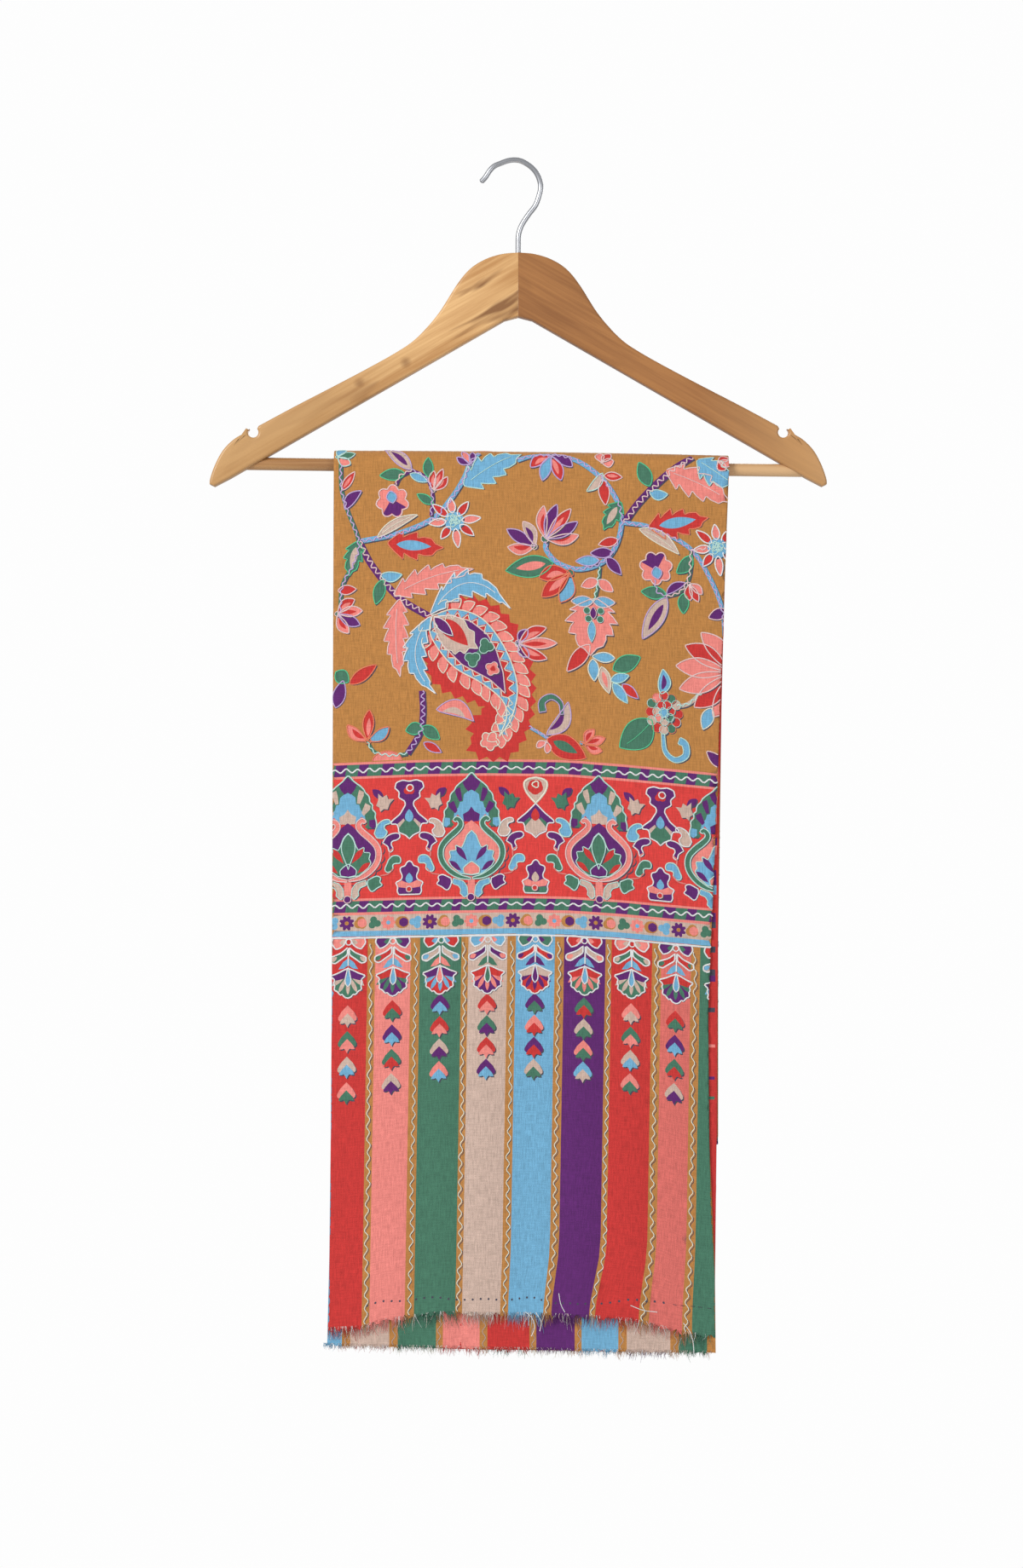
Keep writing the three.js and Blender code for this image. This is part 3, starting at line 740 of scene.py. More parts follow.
# Stems: route, width, dye, zigzag thread
VINES = (
    (((-102, 504), (-77.5, 509), (-55, 518.5), (-42.5, 532), (-34, 545.5),
      (-29.5, 557), (-24, 563)), 3.2, BLUE, LILAC),
    (((0.5, 557.5), (11.5, 561), (27.5, 561.5), (43.5, 555.5), (59, 542.5),
      (68, 525), (66.5, 507), (57.5, 493), (41.5, 487), (27.5, 490.5),
      (19.5, 499), (19.5, 504.5)), 3.2, BLUE, LILAC),
    (((-114.5, 553.5), (-114, 537.5), (-110, 523.5), (-103, 504.5), (-105.5, 491),
      (-113.5, 475.5), (-115, 456)), 2.6, GREEN, LILAC),
    (((-102.5, 503.5), (-93.5, 487.5), (-77, 468), (-55.5, 454.5)), 4.4,
     PURPLE, ROSE),
    (((70.5, 518.5), (80.5, 532), (96.5, 548), (115, 562)), 4.4,
     PURPLE, ROSE),
    (((70, 518), (87.5, 515.5), (112.5, 503.5), (125.5, 486), (134, 466.5),
      (136, 448.5)), 2.8, BLUE, LILAC),
    (((-68, 550), (-75.5, 546), (-78.5, 540.5)), 2.3, PURPLE, ROSE),
    (((-68, 550), (-58.5, 545), (-54.5, 533.5), (-55.5, 520.5)), 2.3,
     PURPLE, LILAC),
    (((89.5, 482), (92, 474), (98, 472)), 2.3, PURPLE, LILAC),
    (((114, 502), (113, 486), (107, 475.5), (98, 472)), 2.3,
     GREEN, ROSE),
    (((54.5, 489), (53.5, 479), (51, 466.5)), 2, GREEN, MINT),
    (((-61.5, 407), (-61, 392), (-63, 379.5), (-71, 366.5)), 4,
     PURPLE, LILAC),
    (((-97, 374.5), (-92, 368), (-81, 365.5), (-71, 366.5)), 2.3,
     GREEN, MINT),
    (((-55, 518.5), (-45.5, 518)), 1.8, GREEN, ROSE),
    (((114, 502), (124, 503.5)), 1.8, PURPLE, ROSE),
    (((104.5, 402), (112.5, 404.5), (120, 411.5)), 2.6, BEIGE, MINT),
    (((8, 383.5), (15, 379.5), (20.5, 376)), 2, BLUE, LILAC),
    (((41.5, 374), (46, 373.5)), 2, BLUE, CORAL),
)
# Hooked tendrils: route, width at the end, dye, thread round them
HOOKS = (
    (((96, 384), (97.5, 373), (104, 368), (111, 371.5), (110.5, 378.5), (106.5, 380.5)), 4.6,
     BLUE, MINT),
    (((29.5, 391.5), (28.5, 399), (22.5, 403), (16.5, 399.5), (17, 393)), 4.8, GREEN,
     LILAC),
)
CORES = {PINK: RED, RED: PINK, BEIGE: PURPLE}
STARS = ((-40.6, 517.4), (131, 503.7))
BLOSSOMS = ((-81, 530, 0.2), (91.1, 489.5, -2.9))
# Paisley: the two sides of its drop from base to tail, its flaming rim and its inner leaf
PAISLEY_RIGHT = (
    (-55, 456), (-40, 460), (-22, 453.5), (-7.5, 434.5), (0.5, 410.5), (-3, 390), (-11.5, 376.5),
)
PAISLEY_LEFT = (
    (-55, 456), (-56, 443), (-42, 423.5), (-23, 412), (-9.5, 401), (-6.5, 390), (-11.5, 376.5),
)
PAISLEY_RIM = (
    (-55, 457), (-40, 466.5), (-27, 466), (-14, 461), (-2, 449.5), (5.5, 435), (9.5, 418), (10, 404),
    (8.5, 389), (3, 374), (-6, 363.5), (-22, 363.5), (-31, 370), (-26, 376), (-31, 384), (-18.5, 394.5),
    (-22, 399), (-33, 402.5), (-46, 407.5), (-55.5, 416.5), (-59.5, 431), (-59.5, 446),
)
PAISLEY_LEAF = (
    (-53.5, 455), (-43, 456), (-30, 452.5), (-19, 444), (-13, 433.5), (-8.5, 419), (-7, 405), (-17, 414),
    (-35.5, 424), (-48.5, 437.5), (-53.5, 448),
)
PAISLEY_CALYX = (
    (-54, 455.5), (-42, 456.5), (-34, 453), (-31.5, 447.5), (-27.5, 445.5), (-27.5, 438.5), (-25, 434.5),
    (-31, 435), (-34, 431), (-37, 433.5), (-40.5, 430.5), (-42.5, 433.5), (-46.5, 434), (-51.5, 442),
    (-54, 450),
)


def draw_leaf(pattern: Pattern, row: tuple) -> None:
    """Draws one leaf of the field: its outline, then its heart, or a vein on a long one.

    Args:
        pattern: The design.
        row: Its row of LEAVES.
    """
    u, s, tip_u, tip_s, width, dye, heart, thread, bow, has_teeth = (*row, *PLAIN_LEAF[len(row) - 6:])
    thread = thread or USUAL_THREAD[dye]
    length = math.hypot(tip_u - u, tip_s - s)
    turn = math.atan2(tip_s - s, tip_u - u)
    if has_teeth:
        shape = toothed(length, width, teeth=max(3, round(length / 10.5)))
    else:
        shape = petal(length, width)
    pattern.outlined(placed(bowed(shape, bow), u, s, turn), dye, thread)
    if heart:
        inner = bowed(petal(0.62 * length, 0.4 * width), bow)
        pattern.fill(placed(inner, u, s, turn) + 0.16 * np.array((tip_u - u, tip_s - s)), heart)
    elif length > 26:
        t = np.linspace(0.12, 0.82, 14)
        vein = np.column_stack((t * length, bow * length * 4 * t * (1 - t)))
        pattern.sew(placed(vein, u, s, turn), thread, 0.3)


def draw_fan(pattern: Pattern, row: tuple) -> None:
    """Draws a flower seen from the side: its petals spread about the middle one.

    Args:
        pattern: The design.
        row: Its row of FANS.
    """
    u, s, tip_u, tip_s, spread, width, dyes, thread = row
    length = math.hypot(tip_u - u, tip_s - s)
    axis = math.atan2(tip_s - s, tip_u - u)
    count = len(dyes)
    order = sorted(range(count), key=lambda i: -abs(i - (count - 1) / 2))
    for i in order:
        share = 2 * i / max(count - 1, 1) - 1
        turn = axis + math.radians(spread) / 2 * share
        size = 1 - 0.16 * abs(share)
        shape = bowed(petal(length * size, width, belly=0.56), 0.09 * share)
        sewn = LILAC if dyes[i] is PURPLE else thread
        pattern.outlined(placed(shape, u, s, turn), dyes[i], sewn, 0.52)
        if dyes[i] in CORES and length > 14 and width < 10:
            core = bowed(petal(0.6 * length * size, 0.42 * width, belly=0.5), 0.09 * share)
            pattern.fill(placed(core + (0.14 * length, 0), u, s, turn), CORES[dyes[i]])
    pattern.outlined(placed(scalloped(0.1 * length, 6, 0.1, 3), u, s), GREEN, thread, 0.36)


def draw_vine(pattern: Pattern, row: tuple) -> None:
    """Draws a stem with a zigzag thread along it."""
    route, width, dye, thread = row
    path = smooth_path(route, 2)
    pattern.fill(ribbon(path, width), dye, shadow=True)
    pattern.sew(zigzag(path, 0.3 * width, 4.8), thread, 0.55)


def draw_hook(pattern: Pattern, row: tuple) -> None:
    """Draws a hooked tendril that widens to its end, with a thread round it."""
    route, width, dye, thread = row
    path = smooth_path(route, 1.6)
    taper = width * np.linspace(0.45, 1, len(path))
    pattern.outlined(ribbon(path, taper), dye, thread, 0.42)


def draw_star(pattern: Pattern, u: float, s: float) -> None:
    """Draws an eight-petalled star with a scribbled centre.

    Args:
        pattern: The design.
        u: Its middle across the cloth.
        s: Its middle up the cloth.
    """
    for i in range(8):
        shape = petal(12.8 - 1.4 * (i % 3), 5, belly=0.42) + (4.8, 0)
        dye = RED if i % 2 else PINK
        pattern.outlined(placed(shape, u, s, i * math.pi / 4 + 0.14), dye, WHITE, 0.54)
    pattern.fill(placed(scalloped(6.6, 9, 0.12, 3), u, s), BLUE, shadow=True)
    angle = np.linspace(0, 7 * np.pi, 60)
    reach = 1 + 2.6 * angle / angle[-1] + 1.6 * np.sin(2.7 * angle)
    scribble = np.column_stack((np.cos(angle), np.sin(angle))) * reach[:, None]
    pattern.sew(scribble + (u, s), MINT, 0.46)


def draw_blossom(pattern: Pattern, u: float, s: float, turn: float) -> None:
    """Draws a ruffled blossom, pink above and purple below, with a blue eye.

    Args:
        pattern: The design.
        u: Its middle across the cloth.
        s: Its middle up the cloth.
        turn: Its turn in radians.
    """
    ruffle = scalloped(10.8, 7, 0.24, 6)
    pattern.fill(placed(ruffle, u, s, turn), PINK, shadow=True)
    angle = np.arctan2(ruffle[:, 1], ruffle[:, 0])
    low = np.vstack(((0, 1.6), ruffle[(angle > -2.5) & (angle < -0.55)] * 0.96))
    pattern.fill(placed(low, u, s, turn), PURPLE)
    pattern.sew(placed(ruffle, u, s, turn), ROSE, 0.56, closed=True)
    eye = placed(petal(8.2, 6.6, 0.5) - (1.4, 0), u, s, turn + math.pi / 2)
    pattern.outlined(eye, BLUE, LILAC, 0.44)


def draw_grape_leaf(pattern: Pattern) -> None:
    """Draws the broad pink leaf with its calyx and five green beads."""
    u, s = 50.4, 464.7
    pattern.outlined(placed(toothed(37, 31, teeth=4, depth=0.24), u, s + 3, -math.pi / 2 - 0.05),
                     PINK, ROSE)
    for turn in (0, math.pi):
        pattern.outlined(placed(petal(14.5, 7), u, s + 1.8, turn), BLUE, ROSE)
    pattern.outlined(placed(petal(14, 5), u - 1.5, s - 11, -math.pi / 2), BLUE, MINT, 0.3)
    for du, ds in ((-4.4, -4.2), (4.4, -4.2), (-3.6, -9.4), (4, -9.6)):
        pattern.outlined(placed(scalloped(2.2, 8, 0.02, 2), u + du, s + ds), GREEN, MINT, 0.28)
    pattern.outlined(placed(petal(8, 4.2), u, s - 9.5, math.pi / 2), PURPLE, ROSE, 0.28)


def draw_berries(pattern: Pattern) -> None:
    """Draws the bunch of round berries over its blue bloom."""
    u, s = 96.5, 397.3
    dyes = (RED, BEIGE, GREEN, RED, PINK, GREEN, RED, BEIGE)
    for i in range(12):
        angle = i * 2 * math.pi / 12
        bead = placed(scalloped(3, 8, 0.02, 2), u + 9 * math.cos(angle), s + 11 * math.sin(angle))
        pattern.outlined(bead, dyes[i % 8], MINT if i % 2 else CORAL, 0.26)
    for i in range(7):
        angle = i * 2 * math.pi / 7 + 0.3
        bead = placed(scalloped(2.8, 8, 0.02, 2), u + 4.6 * math.cos(angle), s + 5.2 * math.sin(angle))
        pattern.outlined(bead, dyes[(i * 3) % 8], MINT, 0.26)
    pattern.outlined(placed(scalloped(3.4, 5, 0.3), u, s), BLUE, MINT, 0.3)


def feathers(pattern: Pattern, path: Array, side: int, count: int, length: float) -> None:
    """Draws overlapping petals along one side of a path.

    Args:
        pattern: The design.
        path: Flat path that they grow from.
        side: +1 on its left, -1 on its right.
        count: Number of petals.
        length: Length of the longest.
    """
    at = np.linspace(0.05, 0.985, count) * (len(path) - 1)
    roots = np.column_stack([np.interp(at, np.arange(len(path)), axis) for axis in path.T])
    out = sideways(path)
    for i in reversed(range(count)):
        normal = out[int(at[i])] * side
        heading = math.atan2(normal[1], normal[0]) - side * 0.8
        reach = length * (0.72 + 0.28 * math.sin(math.pi * (i + 0.5) / count))
        leaf = bowed(petal(reach, 6.4, 0.46), 0.07 * side)
        shape = placed(leaf, *(roots[i] - normal * 0.8), heading)
        pattern.fill(shape, PINK)
        pattern.sew(shape[5:20], CREAM, 0.42)


def draw_paisley(pattern: Pattern) -> None:
    """Draws the large paisley from its flaming rim inwards."""
    right = smooth_path(PAISLEY_RIGHT, 1.5)
    left = smooth_path(PAISLEY_LEFT, 1.5)
    drop = np.vstack((right, left[-2:0:-1]))
    pattern.fill(jagged(PAISLEY_RIM, 8.4, 3.4), RED)
    pattern.outlined(placed(scalloped(6.4, 5, 0.3, 5), -17.5, 374, 0.4), PINK, CREAM, 0.5)
    feathers(pattern, left, -1, 13, 12.4)
    feathers(pattern, right, 1, 17, 12.6)
    pattern.fill(drop, RED)
    for path, side, depth in ((right, -1, 4.6), (left, 1, 3.6)):
        edge = resample(path[2:-2], 3.6, False)
        inward = sideways(edge) * side
        teeth = edge + inward * (0.6 + depth * (np.arange(len(edge)) % 2))[:, None]
        pattern.fill(np.vstack((edge, teeth[::-1])), BLUE)
        pattern.sew(resample(teeth + inward * 0.8, 1.2, False), CREAM, 0.44)
    pattern.fill(placed(bowed(petal(27, 6.5, 0.3), 0.08), -2.2, 402, -1.93), BLUE)
    pattern.sew(resample(drop, 1.2, True), CREAM, 0.55, closed=True)
    pattern.outlined(resample(np.array(PAISLEY_LEAF), 2, True), PURPLE, ROSE, 0.5)
    pattern.fill(np.array(PAISLEY_CALYX), BEIGE)
    pattern.sew(resample(np.array(PAISLEY_CALYX), 1.2, True), CREAM, 0.4, closed=True)
    pattern.fill(placed(bowed(petal(27, 11), 0.05), -52.5, 453.2, -0.68), RED)
    pattern.outlined(placed(petal(17, 6.6), -53.4, 454.3, -0.78), PURPLE, WHITE, 0.42)
    for u, s, turn in ((-20, 435.6, 0.9), (-28.4, 427.6, 3.7)):
        pattern.outlined(placed(scalloped(5.4, 3, 0.4, 6), u, s, turn), GREEN, MINT, 0.36)
    pattern.fill(ribbon(np.array(((-21.5, 434), (-24, 431.5), (-27, 429))), 3.6), GREEN)
    pattern.outlined(placed(scalloped(4.8, 4, 0.34, 5), -15.2, 421.2, 0.3), PINK, ROSE, 0.4)
    pattern.fill(placed(scalloped(2, 3, 0.3, 4), -15.2, 421.2, 0.3), RED)


def field_design() -> Pattern:
    """The floral field between the band and the bar."""
    pattern = Pattern()
    for row in VINES:
        draw_vine(pattern, row)
    draw_paisley(pattern)
    for row in LEAVES:
        draw_leaf(pattern, row)
    for row in HOOKS:
        draw_hook(pattern, row)
    for row in FANS:
        draw_fan(pattern, row)
    for u, s in STARS:
        draw_star(pattern, u, s)
    for u, s, turn in BLOSSOMS:
        draw_blossom(pattern, u, s, turn)
    draw_grape_leaf(pattern)
    draw_berries(pattern)
    arc = np.linspace(0, np.pi, 14)
    dome = np.column_stack((9.6 * np.cos(arc), 6.4 * np.sin(arc))) + (-84, 362.6)
    pattern.fill(dome, PINK)
    pattern.sew(dome, CORAL, 0.46)
    return pattern


# Stripes of the end panels: right edge, dye; gold lies between
FACE_STRIPES = (
    (-96.5, RED), (-91.5, GOLD), (-68.5, PINK), (-62.5, GOLD), (-35.5, GREEN), (-31, GOLD), (-5.5, BEIGE),
    (0, GOLD), (25.5, BLUE), (31.5, GOLD), (58.5, PURPLE), (62.5, GOLD), (89, RED), (95, GOLD),
    # The second pink stripe is pink painted darker, as painted shade of its fold
    (114.5, SALMON), (120.5, GOLD), (160, GREEN),
)
SECOND_STRIPES = (
    (-109.5, BLUE), (-104, GOLD), (-78.5, BEIGE), (-73, GOLD), (-48, GREEN), (-43.5, GOLD), (-19.5, PINK),
    (-14.5, GOLD), (13, RED), (17.5, GOLD), (42.5, PURPLE), (47, GOLD), (71, BLUE), (76.5, GOLD),
    (105, BEIGE), (110.5, GOLD), (129, GREEN), (160, GOLD),
)
THIRD_STRIPES = (
    (-76, RED), (-47, CREAM), (-17, RED), (-13, GOLD), (9, GREEN), (14, GOLD), (40, CREAM), (46, GOLD),
    (69, BLUE), (75, GOLD), (106, PURPLE), (112, GOLD), (160, GREEN),
)
# Selvedge that shows beyond the centre fold: dye and the drop where it ends
SELVEDGE = (
    (GOLD, 60), (PINK, 112), (RED, 190), (PINK, 205), (GOLD, 214), (PINK, 232), (RED, 241), (PURPLE, 246),
    (PINK, 252), (RED, 262), (PURPLE, 272), (BLUE, 278), (RED, 290), (PURPLE, 296), (SLATE, 300),
    (RED, 312), (SLATE, 316), (RED, 327), (SLATE, 331), (PURPLE, 335), (RED, 352), (SLATE, 355), (RED, 376),
    (PINK, 378), (RED, 397), (PURPLE, 399), (RED, 410), (GREEN, 412), (RED, 600),
)
# Drop below which the strip's outer edge stays red
MARKS_DROP = 262.0
# Falling hearts of each stripe: upper and lower dyes of the four, then their shift upwards
HEARTS = {
    RED: ((PINK, BEIGE), (GREEN, PINK), (BEIGE, BLUE), (PINK, GREEN)),
    PINK: ((RED, GREEN), (PURPLE, BLUE), (GREEN, RED), (BEIGE, PURPLE)),
    SALMON: ((RED, GREEN), (PURPLE, BLUE), (GREEN, RED), (BEIGE, PURPLE)),
    GREEN: ((PURPLE, BLUE), (RED, PINK), (BEIGE, PURPLE), (PINK, BLUE)),
    BEIGE: ((RED, PINK), (GREEN, PURPLE), (RED, PINK), (PURPLE, BLUE)),
    BLUE: ((PURPLE, GREEN), (PINK, RED), (PURPLE, RED), (BEIGE, GREEN)),
    PURPLE: ((GREEN, RED), (BEIGE, GREEN), (PINK, GREEN), (BLUE, BEIGE)),
}
# Bow of each stripe: upper loops, knot, lower loops, wing, rays, drop
BOWS = {
    RED: (PINK, BEIGE, GREEN, PURPLE, GREEN, BLUE),
    PINK: (PURPLE, GREEN, RED, RED, PURPLE, BLUE),
    SALMON: (PURPLE, GREEN, RED, RED, PURPLE, BLUE),
    GREEN: (RED, BLUE, BEIGE, PURPLE, RED, PINK),
    BEIGE: (BLUE, PINK, PURPLE, RED, PURPLE, GREEN),
    BLUE: (GREEN, PURPLE, RED, BEIGE, RED, PURPLE),
    PURPLE: (RED, PINK, BEIGE, RED, GREEN, BLUE),
}
# Shapes of the bow and its palmette, from the middle of the line over the stripe
BOW_LOOP = (
    (1.5, -1.5), (6, -0.5), (10.5, -1), (11.5, -4), (8.5, -8), (5.5, -7), (3, -5),
)
BOW_TAIL = (
    (1, -7), (4.5, -10), (8, -11.5), (12, -13), (12, -16), (9, -17), (5.5, -14.5), (1, -11.5),
)
BOW_CHEVRON = ((0, -13.5), (3.5, -16), (6.5, -20.5), (3, -20), (0, -18))
BOW_FAN = (
    (0, -38.5), (2, -38), (3.5, -36), (5, -36.5), (7, -34), (9, -33.5), (8.5, -30.5), (9.5, -29),
    (8.5, -27), (11.5, -24.5), (7, -23), (3, -21), (0, -20),
)
BOW_WING = (
    (0, -25.5), (3.5, -26.5), (7.5, -27.5), (9, -26.5), (11, -24.5), (7, -23), (3, -21), (0, -20.5),
)
BOW_DROP = ((0, -31), (1.5, -29.5), (2, -27), (1, -22.5), (0, -18.5))
HEART_CAP = (
    (1, -6), (2, -7.5), (3, -9), (5, -9.5), (6, -8.5), (6, -7), (4, -3.5), (1.5, -1), (0, 0.5),
)
HEART_FOOT = (
    (0, -13.5), (1, -11.5), (2, -10.5), (3, -11), (5, -11), (4.5, -9.5), (3.5, -8), (2, -6.5), (0, -4.5),
)
# First heart's drop below the line, and their pitch, by the middle of the stripe
HEART_ROWS = np.array((
    (-109, 43.6, 16.1), (-80, 41.6, 15.6), (-49, 38.6, 14.6), (-18, 38.8, 14.1), (13, 38.6, 14.2),
    (45, 40.4, 13.8), (76, 42.2, 15.1), (105, 43.6, 15.4), (130, 44, 15.4),
))


def box(left: float, right: float, low: float, high: float, step: float = 14.0) -> Array:
    """Outline of an upright rectangle, with points about a step apart along its sides."""
    corners = np.array(((left, low), (right, low), (right, high), (left, high)))
    return np.vstack([
        a + (b - a) * np.linspace(0, 1, max(1, int(np.hypot(*(b - a)) / step)), endpoint=False)[:, None]
        for a, b in zip(corners, np.roll(corners, -1, axis=0))
    ])


def strip(low: float, high: float) -> Array:
    """Outline of a line across the whole leaf."""
    return box(-SIDE_ALLOWANCE, SIDE_ALLOWANCE, low, high)


def draw_bow(pattern: Pattern, u: float, s: float, dyes: tuple[Dye, ...]) -> None:
    """Draws a sewn bow over a palmette, at the top of a stripe.

    Args:
        pattern: The design.
        u: Middle of the stripe.
        s: Height of the line over the stripe.
        dyes: Dyes of the upper loops, knot, lower loops, wing, rays and drop.
    """
    upper, knot, lower, wing, rays, drop = dyes
    at = np.array((u, s))
    for side in (1, -1):
        for shape, dye in ((BOW_LOOP, upper), (BOW_TAIL, lower)):
            loop = resample(np.array(shape) * (side, 1) + at, 1.3, True)
            pattern.fill(loop, dye)
            pattern.sew(loop, WHITE, 0.62, closed=True)
        lie = -0.1 if side > 0 else math.pi + 0.1
        pattern.fill(placed(petal(5, 3.6), side * 1, -3.4, lie) + at, knot)
        pattern.fill(placed(petal(4.6, 3), side * 11.6, -15, math.pi / 2 + side * 1.1) + at, knot)
        pattern.fill(np.array(BOW_CHEVRON) * (side, 1) + at, drop)
    fan = mirrored(BOW_FAN) + at
    pattern.fill(fan, rays, shadow=True)
    for i in range(-2, 3):
        ray = placed(petal(13, 2.6, 0.66), u, s - 23.5, -math.pi / 2 + i * 0.48)
        pattern.fill(ray, knot)
    pattern.fill(mirrored(BOW_WING) + at, wing)
    pattern.sew(resample(fan, 1.2, True), WHITE, 0.62, closed=True)
    pattern.fill(mirrored(BOW_DROP) + at, drop)
    pattern.sew(resample(mirrored(BOW_DROP) + at, 1, True), WHITE, 0.5, closed=True)
    pattern.sew(np.column_stack((np.full(12, u), np.linspace(s - 7.4, s - 18.6, 12))), WHITE, 0.6)
    pattern.sew(placed(scalloped(1.9, 8, 0.02, 2), u, s - 3.2), WHITE, 0.5, closed=True)


def draw_heart(pattern: Pattern, u: float, s: float, upper: Dye, lower: Dye) -> None:
    """Draws one falling heart: a capped bud over a small three-pointed one."""
    pattern.fill(mirrored(HEART_CAP) + (u, s), upper, shadow=True)
    pattern.fill(mirrored(HEART_FOOT) + (u, s), lower, shadow=True)


def stripe_design(stripes: tuple, plain: bool = False) -> Pattern:
    """The striped end panel, from its hem up to the borders.

    Args:
        stripes: Rows of right edge and dye.
        plain: Whether it is the wrong side, with no bows or hearts.

    Returns:
        The design.
    """
    pattern = Pattern()
    left = -SIDE_ALLOWANCE
    for right, dye in stripes:
        pattern.fill(box(left, right, HEM_ALLOWANCE, LINE_S + 4), dye)
        middle = (left + right) / 2
        if dye is GOLD:
            top = 40 if plain else LINE_S - 1
            height = np.arange(1, top, 5)
            drift = 0.35 * np.sin(height / 13 + middle) + 0.2 * np.sin(height / 4.3)
            wave = zigzag(np.column_stack((middle + drift, height)), 1.1, 8.2)
            # A thin slate ribbon below and right of the zigzag: painted shadow of the raised thread
            if not plain:
                pattern.fill(ribbon(wave + (0.55, -0.55), 0.5), SLATE)
            pattern.sew(wave, BEIGE if plain else IVORY, 0.34 if plain else 0.38)
        elif not plain:
            middle = -109 if left < -160 else 134.5 if right > 150 else middle
            draw_bow(pattern, middle, LINE_S, BOWS[dye])
            start, pitch = (float(column(HEART_ROWS, middle, k)) for k in (1, 2))
            for i, (upper, under) in enumerate(HEARTS[dye]):
                draw_heart(pattern, middle, LINE_S - start - pitch * i, upper, under)
        left = right
    return pattern


def checked(pattern: Pattern, low: float, high: float) -> None:
    """Draws a green and purple checked line with a white zigzag.

    Args:
        pattern: The design.
        low: Its lower edge.
        high: Its upper edge.
    """
    pattern.fill(strip(low, high), GREEN)
    for i in range(22):
        at = -SIDE_ALLOWANCE + 15.3 * i
        size = 6.8 + 1.2 * math.sin(3 * i)
        slab = np.array(((at, low), (at + size, low), (at + size + 1.6, high), (at + 1.6, high)))
        pattern.fill(slab, PURPLE)
    middle = (low + high) / 2
    path = np.array(((-150, middle), (160, middle)))
    pattern.sew(zigzag(path, 1.15, 7.4), WHITE, 0.66)


def rosettes(pattern: Pattern, low: float, high: float) -> None:
    """Draws the beige line of small flowers.

    Args:
        pattern: The design.
        low: Its lower edge.
        high: Its upper edge.
    """
    pattern.fill(strip(low, high), BEIGE)
    middle = (low + high) / 2
    kinds = (
        (scalloped(5.2, 8, 0.34, 3), PURPLE, GOLD), (scalloped(4.4, 3, 0.2, 6), GOLD, PINK),
        (scalloped(4.4, 3, 0.42, 6), GREEN, None), (scalloped(4.9, 8, 0.24, 3), PINK, BLUE),
        (scalloped(4.5, 2, 0.12, 8), GOLD, PURPLE), (scalloped(4.5, 3, 0.42, 6), BLUE, None),
    )
    for i in range(36):
        shape, dye, eye = kinds[i % 6]
        u = -164.6 + 9.02 * i
        pattern.fill(placed(shape, u, middle, 0.4 * (i % 6)), dye)
        if eye:
            size = 3.1 if eye in (PINK, PURPLE) else 1.4
            pattern.fill(placed(scalloped(size, 6, 0.05, 2), u + (size > 2), middle), eye)


# Right halves of a medallion's shapes, from the bottom up, from the middle of its bulb
CROWN_WING = ((0, 14), (10, 18), (13, 22), (9, 26.4), (5.6, 22.8), (3.2, 20))
CROWN = (
    (18.5, 18.5), (18.5, 22), (17.5, 25.5), (18, 28.5), (15.5, 31), (16, 34), (14, 35.5), (14, 38.5),
    (13, 40.5), (11, 42), (10.5, 44), (8, 46.5), (6, 48), (3.5, 50), (2, 52), (0, 54),
)
CROWN_FIELD = (
    (5, 22), (7, 23.5), (11.5, 24.5), (11, 28.5), (8.5, 31), (7.5, 34.5), (5.5, 35), (5, 39.5), (2, 42),
    (0, 42.5),
)
CROWN_HEART = ((0, 20), (3.5, 20), (5, 22.5), (5.5, 26.5), (2, 28.5), (0, 31.5))
CROWN_TOP = ((0, 43), (2, 41.5), (4.5, 44.5), (6, 48), (2.5, 50.5), (0, 53))
CROWN_CHIPS = (
    ((6, 35.5), (8, 35), (10.5, 40.5), (10.5, 43), (7.5, 44.5), (6.5, 40.5)),
    ((9, 29), (10.5, 27), (14.5, 31), (15, 33.5), (11.5, 35.5), (10.5, 33)),
    ((14, 20), (16.5, 18), (19, 20), (18, 24.5), (14, 24)),
)
BULB = (
    (0, -15), (9, -13), (14.5, -9), (18, -3.5), (18.5, 1.5), (16.5, 7), (11.5, 12), (7, 16), (4, 19.5),
    (0, 22.5),
)
HORN = (
    (0.5, -16), (7.5, -14.5), (14, -10.5), (18.5, -5), (20, 0.5), (19, 6), (15, 11), (10, 15.5), (7, 19),
    (7, 22), (9.5, 24), (11, 22),
)
LOTUS = (
    (0, -14), (7, -13), (13, -8), (15, -4.5), (13.5, -2), (14.5, 2), (10, 2.5), (10.5, 6), (6.5, 4), (5, 7),
    (3, 12.5), (0, 15.5),
)
LOTUS_BUD = ((0, -13.5), (5, -12.5), (5.5, -9), (3, -6.5), (0, -4.5))
# Curled leaves on the right of a bulb, from its shoulder down, and the leg under it
CURLS = (
    ((17.5, 15), (19.5, 20.5), (23, 23.5), (27, 24), (28, 21.5), (24.5, 20.5), (24, 18),
     (26, 16), (23.5, 12), (19, 12)),
    ((22.5, 9), (25, 13), (29, 15), (33, 15), (34, 12.5), (31.5, 10.5), (29, 10),
     (28, 8), (29.5, 4.5), (27, 2.5), (26, 6.5)),
    ((26.5, -2.5), (29, 0), (33, 0), (34.5, -2), (34, -5), (31, -5), (29, -6),
     (29.5, -9), (26, -11), (24, -9), (25.5, -5)),
    ((13.5, -15.5), (19, -13), (22, -14.5), (21, -17), (23, -19), (19.5, -21),
     (16, -23.5), (14, -21), (13, -18)),
)
CURL_LINKS = (((29.5, 4.5), (27, 2.5), (27, -1.5)), ((29.5, -9), (26, -12.5), (21, -13.5)))
LEG = (
    (2.5, -26.5), (3, -21), (5.5, -17.5), (12, -15.5), (12.5, -19), (8.5, -20.5), (7, -23), (7.5, -25.5),
    (4.5, -28.5),
)
